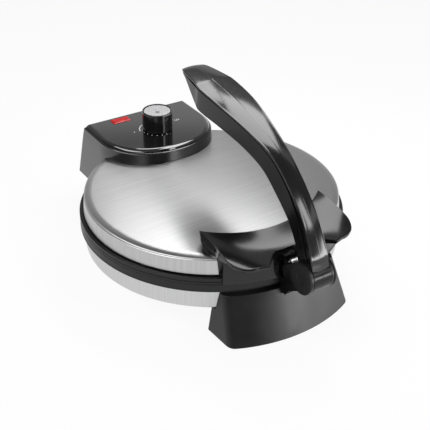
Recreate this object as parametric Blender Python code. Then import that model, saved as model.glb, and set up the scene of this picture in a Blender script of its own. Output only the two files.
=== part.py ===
# Electric roti maker: two heated plates in round casings, a lid hinged at the back,
# a control box on the lid and a press lever that pivots at the front.
# Metres, +Z up, front towards -Y. The origin is on the floor under the middle of the plates.
import math

import bmesh
import bpy
from mathutils import Matrix, Vector

# Clearances, facets and cuts
clearance = 0.0003
weld_distance = 0.00001
overrun = 0.004
big_round_count = 56
small_round_count = 24
pin_round_count = 16
tube_round_count = 8

# Casings: radii about the plates' axis and heights over the floor
ring_radius = 0.131
ring_lip = 0.004
ring_width = 0.0172
ring_chamfer = 0.0006
ring_flange_height = 0.0035
ring_skirt_width = 0.0056
ring_upstand_height = 0.0052
ring_upstand_width = 0.003
wall_draft = 0.002
wall_foot_gap = 0.0017
sheet_thickness = 0.0012
pan_floor_height = 0.028
pan_corner_radius = 0.005
base_depth = 0.0281
base_ring_height = 0.0074
parting_gap = 0.0004
lid_ring_height = 0.0065
lid_wall_height = 0.0145
shoulder_height = 0.0029
shoulder_width = 0.0075
crown_drop = 0.0021
wire_hole_radius = 0.006
wire_hole_side = 0.028
wire_hole_inset = 0.007

# Cooking plates, heaters, shields and posts
plate_thickness = 0.0062
plate_spacing = 0.001
plate_bevel = 0.0016
heater_radius = 0.075
heater_tube_radius = 0.0035
heater_gap_degrees = 44
heater_step_count = 26
shield_inset = 0.0098
shield_thickness = 0.0008
base_shield_rise = 0.0048
lid_shield_drop = 0.005
post_radius = 0.004
post_foot_radius = 0.0055
post_circle_radius = 0.045
post_count = 3
fuse_radius = 0.003
fuse_length = 0.024
fuse_place = 0.022
terminal_width = 0.026
terminal_depth = 0.012
terminal_height = 0.0055
terminal_inset = 0.024

# Feet: how far they stand out from the ring, reach in under it and lap up over the pan
foot_wall = 0.003
foot_lift = 0.0008
foot_roof_thickness = 0.0027
foot_arc_count = 10
pad_radius = 0.006
pad_thickness = 0.0012
pad_boss_radius = 0.0078
pad_inset = 0.0135
screw_radius = 0.002
screw_length = 0.0082
screw_head_radius = 0.004
screw_head_height = 0.0026
front_foot_lap = 0.017
front_foot_floor_overhang = 0.022
front_foot_top_overhang = 0.003
front_foot_depth = 0.027
front_foot_corner_half_width = 0.064
front_foot_inner_half_width = 0.069
front_foot_top_narrowing = 0.002
rear_foot_lap = 0.014
rear_foot_floor_overhang = 0.018
rear_foot_top_overhang = 0.003
rear_foot_depth = 0.031
rear_foot_corner_half_width = 0.043
rear_foot_inner_half_width = 0.047
rear_foot_top_narrowing = 0.001

# Press lever pivot: ears and a web on the front foot
pivot_overhang = 0.0324
pivot_rise = 0.0174
pivot_cap_radius = 0.0151
pivot_cap_thickness = 0.0022
pivot_pin_radius = 0.003
hub_radius = 0.0146
hub_half_width = 0.0093
hub_gap = 0.0023
ear_radius = 0.0148
ear_thickness = 0.0026
ear_back_overhang = 0.0044
ear_back_drop = 0.0025
ear_back_height = 0.005
ear_knee_overhang = 0.0085
ear_knee_drop = 0.0155
ear_heel_overhang = 0.0115
ear_heel_drop = 0.023
ear_toe_overhang = 0.0165
ear_toe_drop = 0.0247
web_overlap = 0.0008
web_drop = 0.014
web_root_depth = 0.005
bush_radius = 0.0042
bush_inner_gap = 0.001

# Press lever: reach and rise from the pivot to the top of the tip
lever_reach = 0.1936
lever_rise = 0.122
lever_half_width = 0.0197
lever_edge_chamfer = 0.0022
lever_arm_inset = 0.0008
lever_arm_chamfer = 0.0018
lever_step_count = 2
lever_screw_radius = 0.0022
lever_screw_head_radius = 0.0033
lever_screw_length = 0.009
lever_screw_head_height = 0.003
lever_screw_depth = 0.003
# Rows from the tip to the pivot, as shares of the reach and the rise:
# top (along, up), seam (along, up), underside (along, up) and share of the half width.
lever_row_shares = [
    (1.018, 0.992, 1.018, 0.976, 1.016, 0.952, 0.56),
    (0.990, 1.002, 0.990, 0.970, 0.985, 0.930, 0.76),
    (0.860, 1.000, 0.860, 0.950, 0.866, 0.826, 0.89),
    (0.790, 0.985, 0.795, 0.940, 0.805, 0.775, 0.99),
    (0.615, 0.940, 0.620, 0.900, 0.650, 0.745, 0.91),
    (0.430, 0.860, 0.445, 0.800, 0.490, 0.680, 0.67),
    (0.275, 0.760, 0.300, 0.710, 0.360, 0.600, 0.48),
    (0.140, 0.595, 0.185, 0.570, 0.260, 0.480, 0.43),
    (0.040, 0.415, 0.075, 0.400, 0.160, 0.340, 0.42),
    (-0.030, 0.210, 0.010, 0.225, 0.090, 0.195, 0.455),
    (-0.045, 0.125, -0.010, 0.150, 0.075, 0.120, 0.46),
]
# The arm goes on past the cover and ends inside the hub.
lever_root_shares = (-0.010, 0.040, 0.050, 0.030, 0.46)
lever_screw_shares = (0.30, 0.52)

# Lid hinge at the back: arms on the rear foot and a bracket on the lid
hinge_overhang = 0.027
hinge_rise = 0.0019
hinge_pin_radius = 0.0025
base_knuckle_radius = 0.0075
lid_knuckle_radius = 0.007
base_arm_inner = 0.022
base_arm_width = 0.008
base_arm_front_inset = 0.002
base_arm_back_inset = 0.0135
base_arm_low_drop = 0.022
base_arm_shelf_drop = 0.0078
hinge_side_gap = 0.001
lid_arm_width = 0.005
hinge_bar_thickness = 0.0045
hinge_bar_depth = 0.017
hinge_bar_rise = 0.0085
hinge_bar_height = 0.011

# Control box on the lid: places are measured forward from the hinge
box_rise = 0.015
box_floor_gap = 0.005
box_half_width = 0.058
box_nose_radius = 0.057
box_nose_inset = 0.038
box_rear_inset = 0.002
box_rear_overhang = 0.0205
box_draft_width = 0.0045
box_draft_height = 0.017
box_wall = 0.0025
box_nose_count = 20
box_slant_rise = 0.0099
box_slant_front_inset = 0.04
box_slant_back_inset = 0.006
box_notch_drop = 0.008
panel_thickness = 0.003
panel_edge_radius = 0.003
panel_edge_count = 3
lens_length = 0.0205
lens_width = 0.0105
lens_side = 0.0244
lens_inset = 0.01125
lens_rise = 0.0012
lens_tail = 0.0018
lens_bevel = 0.0006
lamp_radius = 0.003
lamp_length = 0.016
thermostat_radius = 0.016
thermostat_gap = 0.0008
gland_side = 0.03
gland_rise = 0.017
gland_radius = 0.0047
gland_flange_radius = 0.0072
gland_flange_thickness = 0.002
gland_nose_length = 0.008
gland_nose_radius = 0.0042
gland_bore_radius = 0.0028
gland_tail_length = 0.006

# Knob
knob_inset = 0.013
knob_radius = 0.0164
knob_top_radius = 0.0158
knob_height = 0.0206
knob_edge = 0.0007
knob_wall_depth = 0.0066
cap_radius = 0.0141
cap_thickness = 0.0014
cap_recess = 0.001
shaft_radius = 0.003
shaft_hole_radius = 0.0036

# Front grip of the lid: radii measured from the ring, heights from the crown
grip_half_width = 0.065
grip_rear_inset = 0.0245
grip_front_overhang = 0.023
grip_skirt_overhang = 0.0035
grip_corner_radius = 0.013
grip_rear_rise = 0.0135
grip_rear_sag = 0.004
grip_front_rise = 0.0035
grip_scoop_depth = 0.004
grip_rim_thickness = 0.0035
grip_overhang_depth = 0.006
grip_skirt_gap = 0.0007
grip_root_drop = 0.003
grip_station_count = 10
grip_corner_count = 4
grip_scoop_shares = (0.2, 0.4, 0.6, 0.8)
pocket_wall_inset = 0.0015
pocket_half_width = 0.021
pocket_flare_half_width = 0.037
pocket_flare_inset = 0.0045
pocket_floor_rise = 0.0092
pocket_low_half_width = 0.0145
roller_radius = 0.005
roller_gap = 0.0006
roller_drop = 0.001
roller_half_width = 0.0062
roller_bore_radius = 0.0018
axle_radius = 0.0015
roller_ear_thickness = 0.0024
roller_ear_radius = 0.0048

# Radii that follow from the ring
wall_radius = ring_radius - ring_lip
shoulder_radius = wall_radius - wall_draft
plate_radius = ring_radius - ring_width
shield_radius = plate_radius - shield_inset
terminal_place = shield_radius - terminal_inset
front_foot_floor_radius = ring_radius + front_foot_floor_overhang
front_foot_top_radius = ring_radius + front_foot_top_overhang
front_foot_inner_reach = ring_radius - front_foot_depth
rear_foot_floor_radius = ring_radius + rear_foot_floor_overhang
rear_foot_top_radius = ring_radius + rear_foot_top_overhang
rear_foot_inner_reach = ring_radius - rear_foot_depth
pivot_reach = ring_radius + pivot_overhang
web_front_reach = pivot_reach - hub_radius - hub_gap
grip_rear_radius = ring_radius - grip_rear_inset
grip_front_radius = ring_radius + grip_front_overhang
grip_skirt_radius = ring_radius + grip_skirt_overhang
pocket_reach = grip_skirt_radius - pocket_wall_inset
pocket_flare_reach = grip_front_radius - pocket_flare_inset
roller_reach = pocket_reach + roller_radius + roller_gap
hinge_reach = ring_radius + hinge_overhang
hinge_bar_reach = wall_radius + hinge_bar_thickness
hinge_bar_inner_reach = wall_radius - hinge_bar_depth
base_arm_front_reach = ring_radius - base_arm_front_inset
base_arm_back_reach = hinge_reach - base_arm_back_inset
box_nose_centre = hinge_reach - box_nose_inset
box_rear_top = hinge_reach - box_rear_inset
box_rear_low = hinge_reach + box_rear_overhang
box_slant_front = hinge_reach - box_slant_front_inset
box_slant_back = hinge_reach - box_slant_back_inset
box_notch_half_width = rear_foot_inner_half_width
lens_back = box_rear_top - lens_inset
knob_back = box_nose_centre - knob_inset
wire_hole_back = knob_back - wire_hole_inset
ear_inner = hub_half_width + clearance
ear_outer = ear_inner + ear_thickness
cap_inner = ear_outer + clearance
cap_outer = cap_inner + pivot_cap_thickness

# Heights that follow from the pan's floor
parting_height = pan_floor_height + base_depth
base_top = parting_height - parting_gap / 2
lid_bottom = parting_height + parting_gap / 2
pan_inside_floor = pan_floor_height + sheet_thickness
pan_top_height = base_top - base_ring_height - clearance
lid_ring_top = lid_bottom + lid_ring_height
wall_bottom_height = lid_ring_top + wall_foot_gap
wall_top_height = wall_bottom_height + lid_wall_height
crown_height = wall_top_height + shoulder_height + crown_drop
base_plate_top = parting_height - plate_spacing / 2
lid_plate_bottom = parting_height + plate_spacing / 2
base_plate_bottom = base_plate_top - plate_thickness
lid_plate_top = lid_plate_bottom + plate_thickness
base_shield_height = pan_inside_floor + base_shield_rise
lid_shield_height = wall_top_height - lid_shield_drop
front_foot_top = pan_floor_height + front_foot_lap
rear_foot_top = pan_floor_height + rear_foot_lap
foot_cavity_top = pan_floor_height - clearance - foot_roof_thickness
pivot_height = parting_height + pivot_rise
web_low = front_foot_top - web_root_depth
web_top = pivot_height - web_drop
hinge_height = parting_height + hinge_rise
hinge_bar_low = hinge_height + hinge_bar_rise
hinge_bar_high = hinge_bar_low + hinge_bar_height
base_arm_low = hinge_height - base_arm_low_drop
base_arm_shelf = hinge_height - base_arm_shelf_drop
box_top_height = crown_height + box_rise
box_bottom_height = pan_floor_height + box_floor_gap
box_slant_top = parting_height + box_slant_rise
box_notch_height = hinge_height - box_notch_drop
gland_height = hinge_height + gland_rise
panel_bottom = box_top_height - panel_thickness
hood_top = panel_bottom - clearance
knob_bottom = box_top_height + clearance
knob_top = knob_bottom + knob_height
grip_rear_height = crown_height + grip_rear_rise
grip_front_height = crown_height + grip_front_rise
grip_overhang_height = grip_front_height - grip_overhang_depth
grip_skirt_bottom = lid_bottom + grip_skirt_gap
grip_root_height = wall_top_height - grip_root_drop
pocket_floor = lid_ring_top + pocket_floor_rise
roller_height = pocket_floor - roller_drop


def clear_scene():
    for thing in list(bpy.data.objects):
        bpy.data.objects.remove(thing, do_unlink=True)


def plastic(name, colour, roughness, metallic=0.0):
    material = bpy.data.materials.new(name)
    material.use_nodes = True
    shader = material.node_tree.nodes["Principled BSDF"]
    shader.inputs["Base Color"].default_value = (*colour, 1.0)
    shader.inputs["Roughness"].default_value = roughness
    shader.inputs["Metallic"].default_value = metallic
    material.diffuse_color = (*colour, 1.0)
    return material


def joint_empty(name, place, parent=None):
    empty = bpy.data.objects.new(name, None)
    bpy.context.scene.collection.objects.link(empty)
    empty["world_place"] = place
    empty.parent = parent
    start = Vector(parent["world_place"]) if parent else Vector()
    empty.location = Vector(place) - start
    return empty


def closed(bm):
    bmesh.ops.remove_doubles(bm, verts=bm.verts, dist=weld_distance)
    bmesh.ops.recalc_face_normals(bm, faces=bm.faces)
    return bm


def add_piece(name, bm, finish, carrier=None):
    """Make an object whose origin is its carrier's axis; bm holds world coordinates."""
    start = Vector(carrier["world_place"]) if carrier else Vector()
    bmesh.ops.translate(bm, verts=bm.verts, vec=-start)
    mesh = bpy.data.meshes.new(name)
    bm.to_mesh(mesh)
    bm.free()
    mesh.shade_smooth()
    mesh.set_sharp_from_angle(angle=math.radians(35))
    colour, roughness, metallic = finish
    mesh.materials.append(plastic(name + "_finish", colour, roughness, metallic))
    piece = bpy.data.objects.new(name, mesh)
    piece.parent = carrier
    bpy.context.scene.collection.objects.link(piece)
    return piece


def shape(piece, operation, label, bm):
    """Cut bm out of a piece, or join bm to it, with a Boolean and a hidden tool."""
    mesh = bpy.data.meshes.new(label)
    bm.to_mesh(mesh)
    bm.free()
    tool = bpy.data.objects.new(label, mesh)
    tool.hide_render = True
    tool.display_type = "WIRE"
    bpy.context.scene.collection.objects.link(tool)
    modifier = piece.modifiers.new(label, "BOOLEAN")
    modifier.operation = operation
    modifier.solver = "EXACT"
    modifier.object = tool
    return tool


def cut(piece, label, bm):
    return shape(piece, "DIFFERENCE", label, bm)


def join(piece, label, bm):
    shape(piece, "UNION", label, bm)


def turned(profile, steps, centre=(0.0, 0.0)):
    """Turn (radius, height) points about a vertical axis; ends at radius 0 close by themselves."""
    bm = bmesh.new()
    verts = [bm.verts.new((centre[0] + radius, centre[1], height)) for radius, height in profile]
    edges = [bm.edges.new(pair) for pair in zip(verts, verts[1:])]
    if profile[0][0] > 0 or profile[-1][0] > 0:
        edges.append(bm.edges.new((verts[-1], verts[0])))
    bmesh.ops.spin(
        bm,
        geom=verts + edges,
        cent=(centre[0], centre[1], 0.0),
        axis=(0.0, 0.0, 1.0),
        angle=math.tau,
        steps=steps,
        use_merge=True,
    )
    return closed(bm)


def lofted(sections):
    """Skin closed loops of equal count and cap both ends."""
    bm = bmesh.new()
    loops = [[bm.verts.new(point) for point in section] for section in sections]
    count = len(sections[0])
    for low, high in zip(loops, loops[1:]):
        for index in range(count):
            after = (index + 1) % count
            bm.faces.new((low[index], low[after], high[after], high[index]))
    bm.faces.new(loops[0])
    bm.faces.new(loops[-1])
    return closed(bm)


def upright_prism(outline, low, high):
    return lofted([[(x, y, z) for x, y in outline] for z in (low, high)])


def side_prism(outline, low, high):
    """Extrude an outline of (y, z) points along X."""
    return lofted([[(x, y, z) for y, z in outline] for x in (low, high)])


def rod(start, end, radius, steps, end_radius=None):
    start, end = Vector(start), Vector(end)
    bm = bmesh.new()
    bmesh.ops.create_cone(
        bm,
        cap_ends=True,
        segments=steps,
        radius1=radius,
        radius2=radius if end_radius is None else end_radius,
        depth=(end - start).length,
    )
    turn = (end - start).to_track_quat("Z", "Y").to_matrix().to_4x4()
    bm.transform(Matrix.Translation((start + end) / 2) @ turn)
    return closed(bm)


def spun_along(profile, start, direction, steps):
    """Turn (radius, distance) points about the line from start along direction."""
    bm = turned(profile, steps)
    turn = Vector(direction).to_track_quat("Z", "Y").to_matrix().to_4x4()
    bm.transform(Matrix.Translation(Vector(start)) @ turn)
    return bm


def ring_profile(outer, inner, low, high):
    return [(outer, low), (outer, high), (inner, high), (inner, low)]


def arc_points(centre, radius, first, last, count):
    """Points on an arc; angles in degrees from the first axis towards the second."""
    angles = [math.radians(first + (last - first) * step / count) for step in range(count + 1)]
    return [(centre[0] + radius * math.cos(a), centre[1] + radius * math.sin(a)) for a in angles]


def offset_line(points, distance):
    """Move an open line of (radius, height) points sideways; points on the axis stay on it."""
    moved = []
    last = len(points) - 1
    for index, (radius, height) in enumerate(points):
        before = Vector(points[max(index - 1, 0)])
        after = Vector(points[min(index + 1, last)])
        here = Vector((radius, height))
        sides = [
            Vector((step.y, -step.x)).normalized()
            for step in (here - before, after - here)
            if step.length > 0
        ]
        middle = sum(sides, Vector((0.0, 0.0))).normalized()
        place = here + middle * distance / middle.dot(sides[0])
        moved.append((0.0 if radius == 0 else place.x, place.y))
    return moved


# Finishes: colour, roughness, metallic
gloss_black = ((0.012, 0.012, 0.013), 0.22, 0.0)
satin_black = ((0.022, 0.022, 0.023), 0.42, 0.0)
dull_black = ((0.016, 0.016, 0.017), 0.6, 0.0)
steel_sheet = ((0.6, 0.6, 0.61), 0.3, 1.0)
plain_steel = ((0.52, 0.52, 0.53), 0.35, 1.0)
coated_plate = ((0.028, 0.028, 0.03), 0.5, 0.2)
heater_sheath = ((0.2, 0.19, 0.18), 0.5, 0.9)
rubber_black = ((0.02, 0.02, 0.02), 0.85, 0.0)
silver_cap = ((0.78, 0.78, 0.79), 0.3, 0.9)
red_lens = ((0.62, 0.012, 0.012), 0.18, 0.0)
clear_glass = ((0.85, 0.6, 0.5), 0.1, 0.0)
cream_ceramic = ((0.75, 0.7, 0.6), 0.7, 0.0)
brass_metal = ((0.72, 0.5, 0.2), 0.3, 1.0)


def pan_line():
    corner = (wall_radius - pan_corner_radius, pan_floor_height + pan_corner_radius)
    bend = arc_points(corner, pan_corner_radius, -90, 0, 3)
    return [(0.0, pan_floor_height)] + bend + [(wall_radius, pan_top_height)]


def lid_line():
    """Outer line of the lid's steel cover, from the crown to the foot of its wall."""
    edge = shoulder_radius - shoulder_width
    low_crown = crown_height - crown_drop
    dome = [(0.0, crown_height), (edge / 2, crown_height - crown_drop / 4), (edge, low_crown)]
    bend = [
        (edge + shoulder_width * 0.52, low_crown - shoulder_height * 0.2),
        (edge + shoulder_width * 0.85, low_crown - shoulder_height * 0.55),
        (shoulder_radius, wall_top_height),
    ]
    return dome + bend + [(wall_radius, wall_bottom_height)]


def crown_at(radius):
    """Height of the top of the lid's steel cover at a radius."""
    line = lid_line()
    for (near, near_height), (far, far_height) in zip(line, line[1:]):
        if near <= radius <= far:
            share = (radius - near) / (far - near)
            return near_height + (far_height - near_height) * share
    return line[-1][1]


def lid_envelope():
    """The space of the lid and the base, a clearance larger, that outer pieces are cut back to."""
    cover = offset_line(lid_line(), -clearance)
    step = [
        (wall_radius + clearance, lid_ring_top + clearance),
        (ring_radius + clearance, lid_ring_top + clearance),
        (ring_radius + clearance, pan_floor_height),
        (0.0, pan_floor_height),
    ]
    return turned(cover[:-1] + step, big_round_count)


def post_places():
    angles = [math.tau * (step / post_count) + math.tau / 4 for step in range(post_count)]
    return [(post_circle_radius * math.cos(a), post_circle_radius * math.sin(a)) for a in angles]


def make_shell(name, line, finish, carrier):
    inner = offset_line(line, -sheet_thickness if line[0][1] < line[-1][1] else sheet_thickness)
    return add_piece(name, turned(line + inner[::-1], big_round_count), finish, carrier)


def make_base_pan():
    pan = make_shell("base_pan", pan_line(), steel_sheet, None)
    holes = [(x, y) for foot in (front_foot, rear_foot) for x, y in screw_places(foot)]
    for index, (x, y) in enumerate(holes):
        low, high = pan_floor_height - overrun, pan_inside_floor + overrun
        hole = rod((x, y, low), (x, y, high), screw_radius + clearance, pin_round_count)
        cut(pan, f"pan_hole_{index + 1}", hole)


def make_base_ring():
    bottom = base_top - base_ring_height
    skirt = ring_radius - ring_skirt_width
    bore = plate_radius + clearance
    profile = [
        (skirt, bottom),
        (ring_radius - ring_chamfer, bottom),
        (ring_radius, bottom + ring_chamfer),
        (ring_radius, base_top - ring_chamfer),
        (ring_radius - ring_chamfer, base_top),
        (bore, base_top),
        (bore, base_top - ring_flange_height),
        (skirt, base_top - ring_flange_height),
    ]
    add_piece("base_ring", turned(profile, big_round_count), satin_black)


def make_lid_ring(lid_axis):
    bore = plate_radius + clearance
    outer_upstand = wall_radius - sheet_thickness - 2 * clearance
    inner_upstand = outer_upstand - ring_upstand_width
    flange_top = lid_bottom + ring_flange_height
    profile = [
        (bore, lid_bottom),
        (ring_radius - ring_chamfer, lid_bottom),
        (ring_radius, lid_bottom + ring_chamfer),
        (ring_radius, lid_ring_top - ring_chamfer),
        (ring_radius - ring_chamfer, lid_ring_top),
        (outer_upstand, lid_ring_top),
        (outer_upstand, lid_ring_top + ring_upstand_height),
        (inner_upstand, lid_ring_top + ring_upstand_height),
        (inner_upstand, flange_top),
        (bore, flange_top),
    ]
    add_piece("lid_ring", turned(profile, big_round_count), satin_black, lid_axis)


def make_lid_shell(lid_axis):
    cover = make_shell("lid_shell", lid_line(), steel_sheet, lid_axis)
    low, high = wall_top_height - overrun, crown_height + overrun
    place = (wire_hole_side, wire_hole_back)
    hole = rod((*place, low), (*place, high), wire_hole_radius, small_round_count)
    cut(cover, "wire_hole", hole)


def make_plate(name, face, back, carrier):
    """A cooking plate between its flat face and its bevelled back."""
    side = 1 if back > face else -1
    profile = [
        (0.0, face),
        (plate_radius - plate_bevel / 2, face),
        (plate_radius, face + side * plate_bevel / 2),
        (plate_radius, back - side * plate_bevel),
        (plate_radius - plate_bevel, back),
        (0.0, back),
    ]
    add_piece(name, turned(profile, big_round_count), coated_plate, carrier)


def make_heater(name, height, carrier):
    """A round sheathed element that stops short of a full turn at the back."""
    sections = []
    start = 90 + heater_gap_degrees / 2
    sweep = 360 - heater_gap_degrees
    for step in range(heater_step_count + 1):
        angle = math.radians(start + sweep * step / heater_step_count)
        circle = arc_points((heater_radius, height), heater_tube_radius, 0, 360, tube_round_count)
        sections.append([(r * math.cos(angle), r * math.sin(angle), z) for r, z in circle[:-1]])
    add_piece(name, lofted(sections), heater_sheath, carrier)


def make_shield(name, height, carrier):
    """A sheet disc with a hole for each post."""
    profile = [
        (0.0, height),
        (shield_radius, height),
        (shield_radius, height + shield_thickness),
        (0.0, height + shield_thickness),
    ]
    shield = add_piece(name, turned(profile, big_round_count), plain_steel, carrier)
    for index, (x, y) in enumerate(post_places()):
        low, high = height - overrun, height + shield_thickness + overrun
        hole = rod((x, y, low), (x, y, high), post_radius + clearance, pin_round_count)
        cut(shield, f"{name}_hole_{index + 1}", hole)


def make_posts(name, thin_end, step, thick_end, carrier):
    """Stepped spacers that carry the shield and hold the plate to its casing."""
    for index, place in enumerate(post_places()):
        profile = [
            (0.0, thin_end),
            (post_radius, thin_end),
            (post_radius, step),
            (post_foot_radius, step),
            (post_foot_radius, thick_end),
            (0.0, thick_end),
        ]
        post = turned(profile, pin_round_count, place)
        add_piece(f"{name}_{index + 1}", post, plain_steel, carrier)


def make_heating_parts(lid_axis):
    make_plate("bottom_plate", base_plate_top, base_plate_bottom, None)
    make_plate("top_plate", lid_plate_bottom, lid_plate_top, lid_axis)
    lift = heater_tube_radius + clearance
    make_heater("bottom_heater", base_plate_bottom - lift, None)
    make_heater("top_heater", lid_plate_top + lift, lid_axis)
    make_shield("base_heat_shield", base_shield_height, None)
    make_shield("lid_heat_shield", lid_shield_height, lid_axis)
    make_posts(
        "base_post",
        base_plate_bottom - clearance,
        base_shield_height - clearance,
        pan_inside_floor + clearance,
        None,
    )
    roof = crown_at(post_circle_radius + post_foot_radius) - sheet_thickness - clearance
    lid_step = lid_shield_height + shield_thickness + clearance
    make_posts("lid_post", lid_plate_top + clearance, lid_step, roof, lid_axis)


def make_thermal_fuse():
    height = base_plate_bottom - clearance - fuse_radius
    ends = [(side * fuse_length / 2, -fuse_place, height) for side in (-1, 1)]
    add_piece("thermal_fuse", rod(ends[0], ends[1], fuse_radius, pin_round_count), cream_ceramic)


def make_terminal_block():
    low = base_shield_height + shield_thickness + clearance
    half = terminal_width / 2
    near = terminal_place
    far = terminal_place + terminal_depth
    outline = [(-half, near), (half, near), (half, far), (-half, far)]
    block = upright_prism(outline, low, low + terminal_height)
    add_piece("terminal_block", block, cream_ceramic)


# Each foot: name, direction along Y, top height, radii at the floor and the top, half widths
# at its outer corners and inner end, how far in it reaches, and how much its top draws in.
front_foot = (
    "front_foot",
    -1,
    front_foot_top,
    front_foot_floor_radius,
    front_foot_top_radius,
    front_foot_corner_half_width,
    front_foot_inner_half_width,
    front_foot_inner_reach,
    front_foot_top_narrowing,
)
rear_foot = (
    "rear_foot",
    1,
    rear_foot_top,
    rear_foot_floor_radius,
    rear_foot_top_radius,
    rear_foot_corner_half_width,
    rear_foot_inner_half_width,
    rear_foot_inner_reach,
    rear_foot_top_narrowing,
)


def foot_outline(foot, height, inset):
    """A foot's outline at a height: an arc about the plates' axis and an inner end."""
    _, side, top, floor_radius, top_radius, corner, inner, reach, narrowing = foot
    share = min(max(height / top, 0.0), 1.0)
    radius = floor_radius + (top_radius - floor_radius) * share - inset
    half = corner - narrowing * share - inset
    inner_half = inner - narrowing * share - inset
    arc = []
    for step in range(foot_arc_count + 1):
        x = half - 2 * half * step / foot_arc_count
        arc.append((x, side * math.sqrt(radius * radius - x * x)))
    inner_end = side * (reach + inset)
    return arc + [(-inner_half, inner_end), (inner_half, inner_end)]


def foot_prism(foot, low, high, inset):
    heights = (low, high)
    return lofted([[(x, y, z) for x, y in foot_outline(foot, z, inset)] for z in heights])


def pad_places(foot):
    _, side, _, floor_radius, _, corner, _, _, _ = foot
    x = corner - pad_inset
    return [(sign * x, side * (math.sqrt(floor_radius**2 - x**2) - pad_inset)) for sign in (-1, 1)]


def screw_places(foot):
    _, side, _, _, _, corner, _, reach, _ = foot
    return [(sign * corner / 2, side * (reach + pad_inset)) for sign in (-1, 1)]


def make_foot(foot):
    """A hollow foot whose roof carries the pan and whose outer wall laps up over the pan's wall."""
    name = foot[0]
    roof = pan_floor_height - clearance
    piece = add_piece(name, foot_prism(foot, foot_lift, foot[2], 0.0), satin_black)
    cavity = cut(piece, name + "_cavity", foot_prism(foot, -overrun, foot_cavity_top, foot_wall))
    for index, (x, y) in enumerate(pad_places(foot)):
        low, high = pad_thickness + clearance, foot_cavity_top + overrun
        boss = rod((x, y, low), (x, y, high), pad_boss_radius, pin_round_count)
        cut(cavity, f"{name}_boss_{index + 1}", boss)
    body = [
        (0.0, roof),
        (wall_radius + clearance, roof),
        (wall_radius + clearance, foot[2] + overrun),
        (0.0, foot[2] + overrun),
    ]
    cut(piece, name + "_seat", turned(body, big_round_count))
    for index, (x, y) in enumerate(screw_places(foot)):
        low, high = foot_cavity_top - overrun, roof + overrun
        hole = rod((x, y, low), (x, y, high), screw_radius + clearance, pin_round_count)
        cut(piece, f"{name}_hole_{index + 1}", hole)
    return piece


def make_pads_and_screws(foot):
    for label, (x, y) in zip(("left", "right"), pad_places(foot)):
        pad = rod((x, y, 0.0), (x, y, pad_thickness), pad_radius, pin_round_count)
        add_piece(f"{foot[0]}_pad_{label}", pad, rubber_black)
    for label, place in zip(("left", "right"), screw_places(foot)):
        neck = foot_cavity_top - clearance
        profile = [
            (0.0, neck - screw_head_height),
            (screw_head_radius, neck - screw_head_height),
            (screw_head_radius, neck),
            (screw_radius, neck),
            (screw_radius, neck + screw_length),
            (0.0, neck + screw_length),
        ]
        screw = turned(profile, pin_round_count, place)
        add_piece(f"{foot[0]}_screw_{label}", screw, plain_steel)


def add_pivot_ears(foot):
    """Two ears and a web that carry the lever's pin in front of the lid."""
    axis = (-pivot_reach, pivot_height)
    knee = -ring_radius - ear_knee_overhang
    back = -ring_radius - ear_back_overhang
    heel_height = pivot_height - ear_heel_drop
    back_top = pivot_height - ear_back_drop
    tail = [
        (-ring_radius - ear_toe_overhang, pivot_height - ear_toe_drop),
        (-ring_radius - ear_heel_overhang, heel_height),
        (knee, pivot_height - ear_knee_drop),
        (back, back_top - ear_back_height),
        (back, back_top),
    ]
    outline = arc_points(axis, ear_radius, 60, 275, 12) + tail
    for index, side in enumerate((-1, 1)):
        ear = side_prism(outline, *sorted((side * ear_inner, side * ear_outer)))
        join(foot, f"pivot_ear_{index + 1}", ear)
    half = ear_inner + web_overlap
    gap = ring_radius + 2 * clearance
    web = [
        (-gap, web_low),
        (knee, web_low),
        (-web_front_reach, heel_height),
        (-web_front_reach, web_top),
        (knee, web_top),
        (back, base_top),
        (-gap, base_top),
    ]
    join(foot, "pivot_web", side_prism(web, -half, half))
    bore = rod(
        (-ear_outer - overrun, -pivot_reach, pivot_height),
        (ear_outer + overrun, -pivot_reach, pivot_height),
        pivot_pin_radius + clearance,
        pin_round_count,
    )
    cut(foot, "pivot_bore", bore)


def add_hinge_arms(foot):
    """Two arms behind the base that carry the lid's hinge pin."""
    axis = (hinge_reach, hinge_height)
    outline = arc_points(axis, base_knuckle_radius, -80, 110, 9) + [
        (base_arm_front_reach, base_top),
        (base_arm_front_reach, base_arm_low),
        (base_arm_back_reach, base_arm_low),
        (base_arm_back_reach, base_arm_shelf),
    ]
    for index, side in enumerate((-1, 1)):
        ends = sorted((side * base_arm_inner, side * (base_arm_inner + base_arm_width)))
        join(foot, f"hinge_arm_{index + 1}", side_prism(outline, *ends))
    ring_space = [
        (0.0, pan_floor_height + overrun),
        (ring_radius + clearance, pan_floor_height + overrun),
        (ring_radius + clearance, parting_height + overrun),
        (0.0, parting_height + overrun),
    ]
    cut(foot, "hinge_arm_seat", turned(ring_space, big_round_count))
    reach = base_arm_inner + base_arm_width + overrun
    ends = [(side * reach, hinge_reach, hinge_height) for side in (-1, 1)]
    bore = rod(ends[0], ends[1], hinge_pin_radius + clearance, pin_round_count)
    cut(foot, "hinge_bore", bore)


def make_pivot_pieces():
    ends = [(side * ear_outer, -pivot_reach, pivot_height) for side in (-1, 1)]
    pin = rod(ends[0], ends[1], pivot_pin_radius, pin_round_count)
    add_piece("pivot_pin", pin, plain_steel)
    for label, side in (("left", -1), ("right", 1)):
        profile = [
            (0.0, cap_inner),
            (pivot_cap_radius, cap_inner),
            (pivot_cap_radius, cap_outer - ring_chamfer),
            (pivot_cap_radius - ring_chamfer, cap_outer),
            (0.0, cap_outer),
        ]
        start = (0.0, -pivot_reach, pivot_height)
        cap = spun_along(profile, start, (side, 0.0, 0.0), small_round_count)
        add_piece(f"pivot_cap_{label}", cap, dull_black)


def lid_arm_ends():
    inner = base_arm_inner + base_arm_width + hinge_side_gap
    return inner, inner + lid_arm_width


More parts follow.
